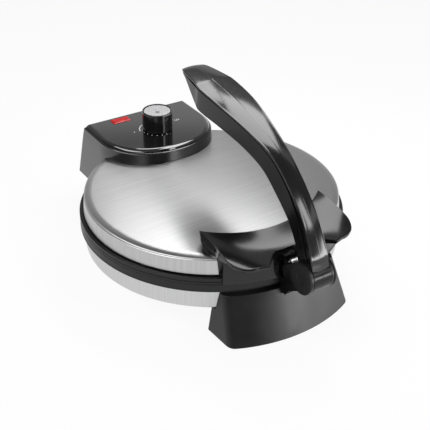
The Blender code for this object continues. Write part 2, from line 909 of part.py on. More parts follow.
def make_hinge_pieces(lid_axis):
    inner, outer = lid_arm_ends()
    ends = [(side * (outer + hinge_side_gap), hinge_reach, hinge_height) for side in (-1, 1)]
    add_piece("hinge_pin", rod(ends[0], ends[1], hinge_pin_radius, pin_round_count), plain_steel)
    bar = [
        (hinge_bar_inner_reach, hinge_bar_low),
        (hinge_bar_reach, hinge_bar_low),
        (hinge_bar_reach, hinge_bar_high),
        (hinge_bar_inner_reach, hinge_bar_high),
    ]
    bracket = add_piece("lid_hinge_bracket", side_prism(bar, -outer, outer), plain_steel, lid_axis)
    axis = (hinge_reach, hinge_height)
    outline = arc_points(axis, lid_knuckle_radius, -110, 80, 9) + [
        (hinge_bar_inner_reach, hinge_bar_high),
        (hinge_bar_inner_reach, hinge_bar_low),
    ]
    for index, side in enumerate((-1, 1)):
        arm = side_prism(outline, *sorted((side * inner, side * outer)))
        join(bracket, f"lid_hinge_arm_{index + 1}", arm)
    cut(bracket, "lid_hinge_seat", lid_envelope())
    reach = outer + overrun
    bore_ends = [(side * reach, hinge_reach, hinge_height) for side in (-1, 1)]
    bore = rod(bore_ends[0], bore_ends[1], hinge_pin_radius + clearance, pin_round_count)
    cut(bracket, "lid_hinge_bore", bore)


def box_rear(height):
    """How far back the slanted rear wall is at a height."""
    share = (box_top_height - height) / (box_top_height - box_bottom_height)
    return box_rear_top + (box_rear_low - box_rear_top) * share


def box_outline(height, inset):
    """A D: straight rear and sides, and a round nose towards the front."""
    share = min((box_top_height - height) / box_draft_height, 1.0)
    grow = box_draft_width * share - inset
    half = box_half_width + grow
    rear = box_rear(height) - inset
    nose = arc_points((0.0, 0.0), 1.0, 180, 360, box_nose_count)
    reach = box_nose_radius + grow
    front = [(half * x, box_nose_centre + reach * y) for x, y in nose]
    return [(-half, rear)] + front + [(half, rear)]


def box_prism(levels, inset):
    return lofted([[(x, y, z) for x, y in box_outline(z, inset)] for z in levels])


def make_control_box(lid_axis):
    draft_foot = box_top_height - box_draft_height
    levels = (box_bottom_height, draft_foot, hood_top)
    hood = add_piece("control_box", box_prism(levels, 0.0), gloss_black, lid_axis)
    inner = (box_bottom_height - overrun, draft_foot, hood_top + overrun / 2)
    cut(hood, "box_hollow", box_prism(inner, box_wall))
    cut(hood, "box_lid_seat", lid_envelope())
    slant = [
        (box_slant_front, box_slant_top),
        (box_slant_back, box_bottom_height),
        (box_slant_back, box_bottom_height - overrun),
        (box_nose_centre - box_nose_radius, box_bottom_height - overrun),
        (box_nose_centre - box_nose_radius, box_slant_top),
    ]
    reach = box_half_width + box_draft_width + overrun
    cut(hood, "box_slant", side_prism(slant, -reach, reach))
    notch = [
        (-box_notch_half_width, box_nose_centre),
        (box_notch_half_width, box_nose_centre),
        (box_notch_half_width, box_rear_low + overrun),
        (-box_notch_half_width, box_rear_low + overrun),
    ]
    low = box_bottom_height - overrun
    cut(hood, "box_notch", upright_prism(notch, low, box_notch_height))
    start, direction = gland_line()
    ends = [start + direction * reach for reach in (-3 * box_wall, 3 * box_wall)]
    hole = rod(ends[0], ends[1], gland_radius + clearance, pin_round_count)
    cut(hood, "gland_hole", hole)


def gland_line():
    """Where the cord's gland crosses the rear wall, and the wall's outward direction."""
    drop = box_top_height - box_bottom_height
    run = box_rear_low - box_rear_top
    direction = Vector((0.0, drop, run)).normalized()
    return Vector((gland_side, box_rear(gland_height), gland_height)), direction


def make_cord_gland(lid_axis):
    start, direction = gland_line()
    face = clearance
    flange = face + gland_flange_thickness
    tip = flange + gland_nose_length
    profile = [
        (0.0, -gland_tail_length),
        (gland_radius, -gland_tail_length),
        (gland_radius, face),
        (gland_flange_radius, face),
        (gland_flange_radius, flange),
        (gland_radius, flange),
        (gland_nose_radius, tip),
        (gland_bore_radius, tip),
        (gland_bore_radius, face),
        (0.0, face),
    ]
    gland = spun_along(profile, start, direction, pin_round_count)
    add_piece("cord_gland", gland, rubber_black, lid_axis)


def lens_outline(gap):
    half_length = lens_length / 2 + gap
    half_width = lens_width / 2 + gap
    corners = [(-1, -1), (1, -1), (1, 1), (-1, 1)]
    return [(-lens_side + x * half_length, lens_back + y * half_width) for x, y in corners]


def make_control_panel(lid_axis):
    """The flat top of the box with a rounded edge."""
    sections = [[(x, y, panel_bottom) for x, y in box_outline(panel_bottom, 0.0)]]
    for step in range(panel_edge_count + 1):
        angle = math.radians(90 * step / panel_edge_count)
        drop = panel_edge_radius * (1 - math.sin(angle)) * 0.5
        inset = panel_edge_radius * (1 - math.cos(angle))
        height = box_top_height - drop
        sections.append([(x, y, height) for x, y in box_outline(height, inset)])
    panel = add_piece("control_panel", lofted(sections), gloss_black, lid_axis)
    low, high = panel_bottom - overrun, box_top_height + overrun
    cut(panel, "lens_hole", upright_prism(lens_outline(clearance), low, high))
    shaft = rod((0.0, knob_back, low), (0.0, knob_back, high), shaft_hole_radius, pin_round_count)
    cut(panel, "shaft_hole", shaft)


def make_indicator(lid_axis):
    top = box_top_height + lens_rise
    bottom = panel_bottom - lens_tail
    sections = [
        [(x, y, bottom) for x, y in lens_outline(0.0)],
        [(x, y, top - lens_bevel) for x, y in lens_outline(0.0)],
        [(x, y, top) for x, y in lens_outline(-lens_bevel)],
    ]
    add_piece("indicator_lens", lofted(sections), red_lens, lid_axis)
    height = bottom - clearance - lamp_radius
    ends = [(-lens_side + side * lamp_length / 2, lens_back, height) for side in (-1, 1)]
    lamp = rod(ends[0], ends[1], lamp_radius, pin_round_count)
    add_piece("indicator_lamp", lamp, clear_glass, lid_axis)


def make_thermostat(lid_axis, knob_axis):
    low = crown_at(knob_back - thermostat_radius) + clearance
    top = panel_bottom - thermostat_gap
    body = rod(
        (0.0, knob_back, low),
        (0.0, knob_back, top),
        thermostat_radius,
        small_round_count,
    )
    add_piece("thermostat", body, cream_ceramic, lid_axis)
    start = (0.0, knob_back, top + clearance)
    end = (0.0, knob_back, knob_top - knob_wall_depth - clearance)
    shaft = rod(start, end, shaft_radius, pin_round_count)
    add_piece("thermostat_shaft", shaft, brass_metal, knob_axis)


def make_knob(knob_axis):
    rim = knob_top - cap_recess / 2
    floor = knob_top - cap_recess - clearance
    profile = [
        (shaft_radius + clearance, knob_bottom),
        (knob_radius, knob_bottom),
        (knob_top_radius, rim - knob_edge),
        (knob_top_radius - knob_edge, rim),
        (cap_radius + clearance, rim),
        (cap_radius + clearance, floor),
        (0.0, floor),
        (0.0, knob_top - knob_wall_depth),
        (shaft_radius + clearance, knob_top - knob_wall_depth),
    ]
    ring = profile[6:] + profile[:6]
    outer = ring[1:] + [ring[0]]
    knob = turned(outer, small_round_count, (0.0, knob_back))
    add_piece("knob", knob, gloss_black, knob_axis)
    cap_low = floor + clearance
    cap = rod(
        (0.0, knob_back, cap_low),
        (0.0, knob_back, cap_low + cap_thickness),
        cap_radius,
        small_round_count,
    )
    add_piece("knob_cap", cap, silver_cap, knob_axis)


def grip_stations():
    """Places across the grip, closer together round its front corners."""
    straight = grip_half_width - grip_corner_radius
    even = [straight * step / grip_station_count for step in range(grip_station_count)]
    turns = [
        straight + grip_corner_radius * math.sin(math.pi / 2 * step / grip_corner_count)
        for step in range(grip_corner_count + 1)
    ]
    half = even + turns
    return [-x for x in reversed(half[1:])] + half


def grip_front_reach(x):
    """The grip's front edge: an arc about the plates' axis with rounded corners."""
    straight = grip_half_width - grip_corner_radius
    if abs(x) <= straight:
        return math.sqrt(grip_front_radius**2 - x * x)
    corner = math.sqrt(grip_front_radius**2 - straight**2) - grip_corner_radius
    side = min(abs(x) - straight, grip_corner_radius)
    return corner + math.sqrt(grip_corner_radius**2 - side * side)


def grip_height(x, share):
    """Height of the grip's scooped top: share runs from its rear edge to its front edge."""
    across = (x / grip_half_width) ** 2
    rear = grip_rear_height - grip_rear_sag * (1 - across)
    scoop = grip_scoop_depth * math.sin(math.pi * share)
    return rear + (grip_front_height - rear) * share - scoop


def grip_section(x):
    """The grip's cut across at x, as points (x, y, z) round its outline."""

    def at(radius, height):
        return (x, -math.sqrt(radius * radius - x * x), height)

    front = math.hypot(grip_front_reach(x), x)
    depth = front - grip_rear_radius
    top = [
        at(grip_rear_radius + depth * share, grip_height(x, share))
        for share in (0.0, *grip_scoop_shares, 1.0)
    ]
    rim = grip_height(x, 1.0) - grip_rim_thickness
    return [at(grip_rear_radius, grip_root_height)] + top + [
        at(front, rim),
        at(grip_skirt_radius + clearance, grip_overhang_height),
        at(grip_skirt_radius, grip_skirt_bottom),
        at(wall_radius, grip_skirt_bottom),
    ]


def make_lid_grip(lid_axis):
    grip = add_piece(
        "lid_grip", lofted([grip_section(x) for x in grip_stations()]), gloss_black, lid_axis
    )
    cut(grip, "grip_lid_seat", lid_envelope())
    far = grip_front_radius + overrun
    pocket = [
        (-pocket_half_width, -pocket_reach),
        (-pocket_flare_half_width, -pocket_flare_reach),
        (-pocket_flare_half_width, -far),
        (pocket_flare_half_width, -far),
        (pocket_flare_half_width, -pocket_flare_reach),
        (pocket_half_width, -pocket_reach),
    ]
    cut(grip, "grip_pocket", upright_prism(pocket, pocket_floor, grip_rear_height + overrun))
    low_half = pocket_low_half_width
    slot = [(-low_half, -pocket_reach), (-low_half, -far), (low_half, -far), (low_half, -pocket_reach)]
    low = grip_skirt_bottom - overrun
    cut(grip, "grip_slot", upright_prism(slot, low, pocket_floor + overrun))
    inner = roller_half_width + clearance
    axis = (-roller_reach, roller_height)
    root = -pocket_reach + clearance
    outline = arc_points(axis, roller_ear_radius, 90, 270, 8) + [
        (root, roller_height - roller_ear_radius),
        (root, roller_height + roller_ear_radius),
    ]
    for index, side in enumerate((-1, 1)):
        ends = sorted((side * inner, side * (inner + roller_ear_thickness)))
        join(grip, f"roller_ear_{index + 1}", side_prism(outline, *ends))
    reach = inner + roller_ear_thickness + overrun
    bore_ends = [(side * reach, -roller_reach, roller_height) for side in (-1, 1)]
    cut(grip, "axle_bore", rod(bore_ends[0], bore_ends[1], roller_bore_radius, pin_round_count))


def make_roller(lid_axis, roller_axis):
    outer = roller_half_width + clearance + roller_ear_thickness
    ends = [(side * outer, -roller_reach, roller_height) for side in (-1, 1)]
    axle = rod(ends[0], ends[1], axle_radius, pin_round_count)
    add_piece("roller_axle", axle, plain_steel, lid_axis)
    profile = ring_profile(
        roller_radius, roller_bore_radius, -roller_half_width, roller_half_width
    )
    start = (0.0, -roller_reach, roller_height)
    roller = spun_along(profile, start, (1.0, 0.0, 0.0), small_round_count)
    add_piece("press_roller", roller, plain_steel, roller_axis)


def smooth_rows(rows, steps):
    """Pass a smooth curve through rows of numbers, with steps between neighbours."""
    last = len(rows) - 1
    smooth = []
    for index in range(last):
        four = [rows[min(max(index + shift, 0), last)] for shift in (-1, 0, 1, 2)]
        for step in range(steps):
            t = step / steps
            weights = (
                -0.5 * t + t * t - 0.5 * t**3,
                1 - 2.5 * t * t + 1.5 * t**3,
                0.5 * t + 2 * t * t - 1.5 * t**3,
                -0.5 * t * t + 0.5 * t**3,
            )
            smooth.append([sum(w * row[i] for w, row in zip(weights, four)) for i in range(7)])
    smooth.append(list(rows[last]))
    return smooth


def lever_point(along, up):
    return Vector((lever_reach * along - pivot_reach, lever_rise * up + pivot_height))


def lever_loop(top, bottom, top_half, bottom_half, chamfer, chamfer_low):
    """A six-sided cut across the lever between two (y, z) points."""
    edge = top if not chamfer_low else bottom
    other = bottom if not chamfer_low else top
    edge_half = top_half if not chamfer_low else bottom_half
    other_half = bottom_half if not chamfer_low else top_half
    depth = (other - edge).length
    inward = (other - edge) * (min(chamfer, depth * 0.45) / depth)
    shoulder = edge + inward
    flat_half = edge_half - chamfer
    return [
        (-other_half, *other),
        (-edge_half, *shoulder),
        (-flat_half, *edge),
        (flat_half, *edge),
        (edge_half, *shoulder),
        (other_half, *other),
    ]


def make_lever(lever_axis):
    rows = smooth_rows(lever_row_shares, lever_step_count)
    cover_loops = []
    arm_loops = []
    for top_y, top_z, seam_y, seam_z, low_y, low_z, width in rows:
        top = lever_point(top_y, top_z)
        seam = lever_point(seam_y, seam_z)
        low = lever_point(low_y, low_z)
        half = lever_half_width * width
        gap = (low - seam).normalized() * clearance
        cover_loops.append(lever_loop(top, seam, half, half, lever_edge_chamfer, False))
        arm_half = half - lever_arm_inset
        arm_loops.append(
            lever_loop(seam + gap, low, arm_half, arm_half, lever_arm_chamfer, True)
        )
    seam_y, seam_z, low_y, low_z, width = lever_root_shares
    half = lever_half_width * width - lever_arm_inset
    root = [lever_point(seam_y, seam_z), lever_point(low_y, low_z)]
    arm_loops.append(lever_loop(root[0], root[1], half, half, lever_arm_chamfer, True))
    add_piece("lever_cover", lofted(cover_loops), gloss_black, lever_axis)
    arm = add_piece("lever_arm", lofted(arm_loops), gloss_black, lever_axis)
    hub_ends = [(side * hub_half_width, -pivot_reach, pivot_height) for side in (-1, 1)]
    join(arm, "lever_hub", rod(hub_ends[0], hub_ends[1], hub_radius, small_round_count))
    bore_ends = [(x + math.copysign(overrun, x), y, z) for x, y, z in hub_ends]
    bore = rod(bore_ends[0], bore_ends[1], bush_radius + clearance, pin_round_count)
    cut(arm, "lever_bore", bore)
    make_lever_screws(arm, rows, lever_axis)
    make_bushes(lever_axis)


def make_lever_screws(arm, rows, lever_axis):
    """Screws sunk in the underside that hold the cover to the arm."""
    for index, share in enumerate(lever_screw_shares):
        row = rows[round(share * (len(rows) - 1))]
        seam, low = lever_point(row[2], row[3]), lever_point(row[4], row[5])
        inward = (seam - low).normalized()
        mouth = low - inward * overrun
        head = low + inward * lever_screw_depth
        end = head + inward * lever_screw_length
        floor = end + inward * clearance
        start = Vector((0.0, *mouth))
        stop = Vector((0.0, *floor))
        pocket = rod(start, stop, lever_screw_head_radius + clearance, pin_round_count)
        cut(arm, f"screw_pocket_{index + 1}", pocket)
        profile = [
            (0.0, 0.0),
            (lever_screw_head_radius, 0.0),
            (lever_screw_head_radius, lever_screw_head_height),
            (lever_screw_radius, lever_screw_head_height),
            (lever_screw_radius, lever_screw_length),
            (0.0, lever_screw_length),
        ]
        place = (0.0, *head)
        screw = spun_along(profile, place, (0.0, *inward), pin_round_count)
        add_piece(f"lever_screw_{index + 1}", screw, plain_steel, lever_axis)


def make_bushes(lever_axis):
    for label, side in (("left", -1), ("right", 1)):
        profile = ring_profile(
            bush_radius, pivot_pin_radius + clearance, bush_inner_gap, hub_half_width
        )
        start = (0.0, -pivot_reach, pivot_height)
        bush = spun_along(profile, start, (side, 0.0, 0.0), pin_round_count)
        add_piece(f"lever_bush_{label}", bush, brass_metal, lever_axis)


def main():
    clear_scene()
    lid_axis = joint_empty("lid_hinge_axis", (0.0, hinge_reach, hinge_height))
    knob_axis = joint_empty("knob_axis", (0.0, knob_back, box_top_height), lid_axis)
    roller_axis = joint_empty("roller_axis", (0.0, -roller_reach, roller_height), lid_axis)
    lever_axis = joint_empty("lever_axis", (0.0, -pivot_reach, pivot_height))
    make_base_pan()
    make_base_ring()
    make_heating_parts(lid_axis)
    make_thermal_fuse()
    make_terminal_block()
    add_pivot_ears(make_foot(front_foot))
    add_hinge_arms(make_foot(rear_foot))
    make_pads_and_screws(front_foot)
    make_pads_and_screws(rear_foot)
    make_pivot_pieces()
    make_hinge_pieces(lid_axis)
    make_lid_shell(lid_axis)
    make_lid_ring(lid_axis)
    make_control_box(lid_axis)
    make_control_panel(lid_axis)
    make_indicator(lid_axis)
    make_cord_gland(lid_axis)
    make_thermostat(lid_axis, knob_axis)
    make_knob(knob_axis)
    make_lid_grip(lid_axis)
    make_roller(lid_axis, roller_axis)
    make_lever(lever_axis)


main()
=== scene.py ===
# Electric roti maker: the looks of its casings, feet, control box, grip and press lever.
# Metres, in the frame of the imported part: +Z up, front towards -Y, origin on the floor.
import math
from collections import namedtuple

import bmesh
import bpy
from bpy.props import FloatProperty, FloatVectorProperty, IntProperty, PointerProperty
from mathutils import Matrix, Vector


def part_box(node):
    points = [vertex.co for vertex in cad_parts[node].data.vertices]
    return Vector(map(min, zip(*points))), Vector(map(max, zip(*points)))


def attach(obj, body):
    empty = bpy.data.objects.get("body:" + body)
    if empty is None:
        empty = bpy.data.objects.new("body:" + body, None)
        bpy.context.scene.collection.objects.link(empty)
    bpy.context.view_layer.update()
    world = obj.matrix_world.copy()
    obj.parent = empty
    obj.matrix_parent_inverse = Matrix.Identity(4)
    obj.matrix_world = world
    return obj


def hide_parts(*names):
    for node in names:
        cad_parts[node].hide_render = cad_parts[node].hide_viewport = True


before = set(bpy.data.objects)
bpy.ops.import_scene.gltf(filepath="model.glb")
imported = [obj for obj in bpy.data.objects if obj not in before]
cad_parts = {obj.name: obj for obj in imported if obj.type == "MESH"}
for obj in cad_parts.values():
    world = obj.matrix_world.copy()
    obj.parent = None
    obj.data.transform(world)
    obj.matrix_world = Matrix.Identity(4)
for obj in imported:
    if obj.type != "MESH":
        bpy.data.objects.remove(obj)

bl_info = {
    "name": "Electric Roti Maker", "version": (1, 0, 0), "blender": (4, 5, 0),
    "location": "View3D > Sidebar > Roti Maker",
    "description": "Builds the dressed model of an electric roti maker on its CAD frame",
    "category": "Object",
}

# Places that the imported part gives


def axis_of(node):
    """The (y, z) axis of a pin or roller that lies along X."""
    low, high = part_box(node)
    return (low.y + high.y) / 2, (low.z + high.z) / 2


ring_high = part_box("base_ring")[1]
ring_radius, base_top = ring_high.x, ring_high.z
pan_low, pan_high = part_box("base_pan")
wall_radius = pan_high.x
lid_ring_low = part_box("lid_ring")[0]
shell_low, shell_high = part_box("lid_shell")
crown = shell_high.z
plate_low, plate_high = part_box("bottom_plate")
plate_radius = plate_high.x
top_plate_low, top_plate_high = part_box("top_plate")
panel_low, panel_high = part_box("control_panel")
box_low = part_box("control_box")[0]
knob_low, knob_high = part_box("knob")
knob_back = (knob_low.y + knob_high.y) / 2
lens_low, lens_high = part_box("indicator_lens")
pivot_axis, hinge_axis, roller_axis = map(axis_of, ("pivot_pin", "hinge_pin", "press_roller"))

# Lid and base sheet
sheet = 0.0012
gap = 0.0003
lid_ring_top = lid_ring_low.z + 0.0065
wall_top = crown - 0.005
shoulder_radius = wall_radius - 0.0014
crown_edge = 0.1165
crown_drop = 0.0021
pan_floor = pan_low.z - 0.001
hinge_hole = 0.0028
cut_steps = 240


# Sizes and colours that can be changed


def length_field(name, text, default, **more):
    return FloatProperty(name=name, description=text, default=default, unit="LENGTH", **more)


def power_field(name, text, default):
    return FloatProperty(name=name, description=text, default=default, unit="POWER")


def colour_field(name, text, default):
    look = {"size": 3, "min": 0, "max": 1, "subtype": "COLOR"}
    return FloatVectorProperty(name=name, description=text, default=default, **look)


def number_field(name, text, default, **more):
    return FloatProperty(name=name, description=text, default=default, **more)


def count_field(name, text, default, least=1):
    return IntProperty(name=name, description=text, default=default, min=least)


class CasingSizes(bpy.types.PropertyGroup):
    steps: count_field("Facets", "Facets round a turned casing", 240, 48)
    edge: length_field("Ring edge", "Rounding of a ring's edges", 0.0006)
    groove: length_field("Ring groove", "Depth of the line round each ring", 0.0005)
    pan_corner: length_field("Pan corner", "Rounding under the pan's wall", 0.0032)
    steel: colour_field("Steel", "Colour of the brushed steel", (0.55, 0.55, 0.555))
    brushing: number_field("Brushing", "Roughness of the brushed steel", 0.3, min=0, max=1)


class PlasticSizes(bpy.types.PropertyGroup):
    gloss: colour_field("Glossy black", "Colour of the polished plastic", (0.0045, 0.0045, 0.005))
    satin: colour_field("Satin black", "Colour of the satin plastic", (0.006, 0.006, 0.0064))
    red: colour_field("Lens red", "Colour of the indicator lens", (0.5, 0.012, 0.014))
    grain: length_field("Grain", "Height of the moulded grain", 0.00002, precision=6)


class FootSizes(bpy.types.PropertyGroup):
    edge: length_field("Edge", "Rounding along a foot's top edge", 0.0006)
    tread_count: count_field("Treads", "Rings moulded under a rubber pad", 3)


class ControlSizes(bpy.types.PropertyGroup):
    lip: length_field("Panel lip", "Rounding of the panel's edge", 0.003)
    groove: length_field("Groove", "Depth of the groove between panel and hood", 0.0011)
    dot_count: count_field("Dots", "Dots printed round the knob", 7)
    dot_radius: length_field("Dot radius", "Radius of a printed dot", 0.00055)
    dot_circle: length_field("Dot circle", "Radius of the circle of dots", 0.0166)
    numeral: length_field("Numerals", "Height of the dial's numeral and word", 0.0042)


class GripSizes(bpy.types.PropertyGroup):
    edge: length_field("Edge", "Rounding of the grip's rim", 0.0015)
    rib_count: count_field("Ribs", "Ribs on each end of the grip", 4)
    rib_drop: length_field("Rib spacing", "Distance between the ribs", 0.0019)
    rib_radius: length_field("Rib radius", "Half the width of a rib", 0.0005)


class LeverSizes(bpy.types.PropertyGroup):
    crown: number_field("Crown", "Slope of the cover's top at its edges", 0.15, min=0)
    edge: length_field("Edge", "Rounding of the cover's edges", 0.0016)
    undercut: length_field("Undercut", "How far the side stands back under its edge", 0.0016)
    crease: length_field("Crease", "Height of the line along the cover", 0.00012)
    steps: count_field("Steps", "Cuts between two rows", 8, 2)


class StageSizes(bpy.types.PropertyGroup):
    floor: colour_field("Floor", "Colour of the floor", (0.93, 0.93, 0.93))
    rear_power: power_field("Rear lamp", "Rear softbox", 0.7)
    left_power: power_field("Left lamp", "Left softbox", 8.0)
    right_power: power_field("Right lamp", "Low softbox on the right", 18.0)
    front_power: power_field("Front lamp", "Softbox at the front", 4.0)
    fill: number_field("Fill", "Light from the room", 0.32, min=0)
    lens: number_field("Lens", "Camera lens in millimetres", 74.61)


# Meshes


def smooth_rows(rows, steps):
    """Pass a smooth curve through rows of numbers, with steps between neighbours."""
    last = len(rows) - 1
    width = range(len(rows[0]))
    smooth = []
    for index in range(last):
        four = [rows[min(max(index + shift, 0), last)] for shift in (-1, 0, 1, 2)]
        for step in range(steps):
            t = step / steps
            weights = (
                -0.5 * t + t * t - 0.5 * t**3, 1 - 2.5 * t * t + 1.5 * t**3,
                0.5 * t + 2 * t * t - 1.5 * t**3, -0.5 * t * t + 0.5 * t**3,
            )
            smooth.append([sum(w * row[i] for w, row in zip(weights, four)) for i in width])
    smooth.append(list(rows[last]))
    return smooth


def rounded(points, sizes, steps, closed=True):
    """Round the corners of a line by a size each; a corner of size 0 stays sharp."""
    count = len(points)
    if not isinstance(sizes, (list, tuple)):
        sizes = [sizes] * count
    line = []
    for index, (point, size) in enumerate(zip(points, sizes)):
        here = Vector(point)
        if size == 0 or (not closed and index in (0, count - 1)):
            line.append(tuple(here))
            continue
        before = Vector(points[index - 1]) - here
        after = Vector(points[(index + 1) % count]) - here
        start = here + before.normalized() * min(size, before.length * 0.49)
        end = here + after.normalized() * min(size, after.length * 0.49)
        for step in range(steps + 1):
            t = step / steps
            line.append(tuple(start * (1 - t) ** 2 + here * 2 * t * (1 - t) + end * t * t))
    return line


def arc(centre, radius, first, last, count):
    """Points on an arc; angles in degrees from the first axis towards the second."""
    angles = [math.radians(first + (last - first) * step / count) for step in range(count + 1)]
    return [(centre[0] + radius * math.cos(a), centre[1] + radius * math.sin(a)) for a in angles]


def closed_up(bm):
    bmesh.ops.remove_doubles(bm, verts=bm.verts, dist=0.000002)
    bmesh.ops.dissolve_degenerate(bm, edges=bm.edges, dist=0.000001)
    bmesh.ops.recalc_face_normals(bm, faces=bm.faces)
    return bm


def lofted(sections):
    """Skin closed loops of equal count and cap both ends."""
    bm = bmesh.new()
    loops = [[bm.verts.new(point) for point in section] for section in sections]
    count = len(sections[0])
    for low, high in zip(loops, loops[1:]):
        for index in range(count):
            after = (index + 1) % count
            bm.faces.new((low[index], low[after], high[after], high[index]))
    bm.faces.new(loops[0])
    bm.faces.new(loops[-1])
    return closed_up(bm)


def upright(outline, low, high):
    return lofted([[(x, y, z) for x, y in outline] for z in (low, high)])


def sideways(outline, low, high, edge=0.0):
    """Extrude an outline of (y, z) points along X, with its long edges eased."""
    if edge == 0:
        return lofted([[(x, y, z) for y, z in outline] for x in (low, high)])
    middle = Vector((sum(p[0] for p in outline), sum(p[1] for p in outline))) / len(outline)
    small = []
    for y, z in outline:
        inward = middle - Vector((y, z))
        small.append(tuple(Vector((y, z)) + inward.normalized() * edge))
    rows = [(low, small), (low + edge, outline), (high - edge, outline), (high, small)]
    return lofted([[(x, y, z) for y, z in line] for x, line in rows])


def spun(profile, steps, start=(0.0, 0.0, 0.0), direction=(0.0, 0.0, 1.0)):
    """Turn (radius, distance) points about the line from start along direction."""
    bm = bmesh.new()
    verts = [bm.verts.new((radius, 0.0, height)) for radius, height in profile]
    edges = [bm.edges.new(pair) for pair in zip(verts, verts[1:])]
    if profile[0][0] > 0 or profile[-1][0] > 0:
        edges.append(bm.edges.new((verts[-1], verts[0])))
    bmesh.ops.spin(
        bm, geom=verts + edges, cent=(0.0, 0.0, 0.0), axis=(0.0, 0.0, 1.0), angle=math.tau,
        steps=steps, use_merge=True,
    )
    turn = Vector(direction).to_track_quat("Z", "Y").to_matrix().to_4x4()
    bm.transform(Matrix.Translation(Vector(start)) @ turn)
    return closed_up(bm)


def drum(radius, low, high):
    """The profile of a plain cylinder."""
    return [(0.0, low), (radius, low), (radius, high), (0.0, high)]


def rod(start, end, radius, steps=32):
    way = Vector(end) - Vector(start)
    return spun(drum(radius, 0.0, way.length), steps, start, way)


def crosswise(axis, half, radius, steps=32):
    """A rod along X about a (y, z) axis."""
    return rod((-half, *axis), (half, *axis), radius, steps)


def stacked(outline, levels):
    """An upright solid from its outline at each (height, inset)."""
    return lofted([[(x, y, z) for x, y in outline(z, inset)] for z, inset in levels])


def cuts(*solids):
    return [("DIFFERENCE", solid) for solid in solids]


def ears(outline, near, far, edge=0.0):
    """Join an outline on, left and right, between two distances from the middle."""
    places = [sorted((side * near, side * far)) for side in (-1, 1)]
    return [("UNION", sideways(outline, *ends, edge)) for ends in places]


# Finished pieces


def linked(name, data):
    made = bpy.data.objects.new(name, data)
    bpy.context.scene.collection.objects.link(made)
    return made


def loose_object(name, bm):
    mesh = bpy.data.meshes.new(name)
    bm.to_mesh(mesh)
    bm.free()
    return linked(name, mesh)


def close_mesh(mesh):
    bm = bmesh.new()
    bm.from_mesh(mesh)
    closed_up(bm)
    bm.to_mesh(mesh)
    bm.free()


def plain_mesh(source):
    graph = bpy.context.evaluated_depsgraph_get()
    graph.update()
    return bpy.data.meshes.new_from_object(source.evaluated_get(graph), depsgraph=graph)


def apply_modifiers(piece):
    """Keep what a piece's modifiers make of it, as a plain mesh."""
    made, old = plain_mesh(piece), piece.data
    piece.modifiers.clear()
    piece.data = made
    bpy.data.meshes.remove(old)
    return piece


def shade(piece, degrees=32):
    """Smooth the faces, keep sharp edges and let the broad faces stay flat."""
    piece.data.shade_smooth()
    piece.data.set_sharp_from_angle(angle=math.radians(degrees))
    even = piece.modifiers.new("even_normals", "WEIGHTED_NORMAL")
    even.keep_sharp = True
    even.weight = 60
    return apply_modifiers(piece)


def finished(piece, finish, body, nodes):
    """Give a piece its material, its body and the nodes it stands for."""
    piece.data.materials.clear()
    piece.data.materials.append(finishes[finish])
    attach(piece, body)
    if nodes:
        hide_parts(*nodes)
    return piece


def carved(name, bm, shapes):
    """A plain object of bm after each cut or join; a tool can have shapes of its own."""
    piece = loose_object(name, bm)
    tools = []
    for operation, tool_bm, *inner in shapes:
        tool = carved(name + "_tool", tool_bm, inner[0] if inner else ())
        change = piece.modifiers.new("shape", "BOOLEAN")
        change.operation = operation
        change.solver = "EXACT"
        change.object = tool
        tools.append(tool)
    if tools:
        apply_modifiers(piece)
    for tool in tools:
        mesh = tool.data
        bpy.data.objects.remove(tool)
        bpy.data.meshes.remove(mesh)
    return piece


def piece_from(name, bm, finish, body, nodes, shapes=(), degrees=32):
    """A finished piece: bm, then each cut or join, then its shading and its place."""
    return finished(shade(carved(name, bm, shapes), degrees), finish, body, nodes)


# Geometry Nodes trees


def new_tree(name, sockets):
    """A tree with named inputs; what they give; and its way out."""
    tree = bpy.data.node_groups.new(name, "GeometryNodeTree")
    face = tree.interface
    face.new_socket(name="Geometry", in_out="INPUT", socket_type="NodeSocketGeometry")
    for label, kind, default in sockets:
        socket = face.new_socket(name=label, in_out="INPUT", socket_type="NodeSocket" + kind)
        socket.default_value = default
    face.new_socket(name="Finish", in_out="INPUT", socket_type="NodeSocketMaterial")
    face.new_socket(name="Geometry", in_out="OUTPUT", socket_type="NodeSocketGeometry")
    return tree, tree.nodes.new("NodeGroupInput").outputs, tree.nodes.new("NodeGroupOutput")


def add(tree, kind, values=None, **settings):
    """Add a node, set its fields, and link or set its inputs by name or number."""
    made = tree.nodes.new(kind)
    for field, value in settings.items():
        setattr(made, field, value)
    for key, value in (values or {}).items():
        if isinstance(value, bpy.types.Node):
            value = value.outputs[0]
        if isinstance(value, bpy.types.NodeSocket):
            tree.links.new(value, made.inputs[key])
        else:
            made.inputs[key].default_value = value
    return made


def maths(tree, operation, first, second=None):
    values = {0: first} if second is None else {0: first, 1: second}
    return add(tree, "ShaderNodeMath", values, operation=operation)


def around(tree, radius, angle, height=0.0):
    """The place at an angle on a circle about the Z axis."""
    x = maths(tree, "MULTIPLY", radius, maths(tree, "COSINE", angle))
    y = maths(tree, "MULTIPLY", radius, maths(tree, "SINE", angle))
    return add(tree, "ShaderNodeCombineXYZ", {0: x, 1: y, 2: height})


def moved_to(tree, points, place):
    return add(tree, "GeometryNodeSetPosition", {"Geometry": points, "Position": place})


def on_points(tree, points, thing, turn=None):
    """A copy of a thing on each point."""
    values = {"Points": points, "Instance": thing}
    if turn:
        values["Rotation"] = turn
    return add(tree, "GeometryNodeInstanceOnPoints", values)


def handed_out(tree, outside, geometry, finish):
    """Make the copies real, give them their material and end the tree."""
    real = add(tree, "GeometryNodeRealizeInstances", {"Geometry": geometry})
    done = add(tree, "GeometryNodeSetMaterial", {"Geometry": real, "Material": finish})
    tree.links.new(done.outputs[0], outside.inputs[0])
    return tree


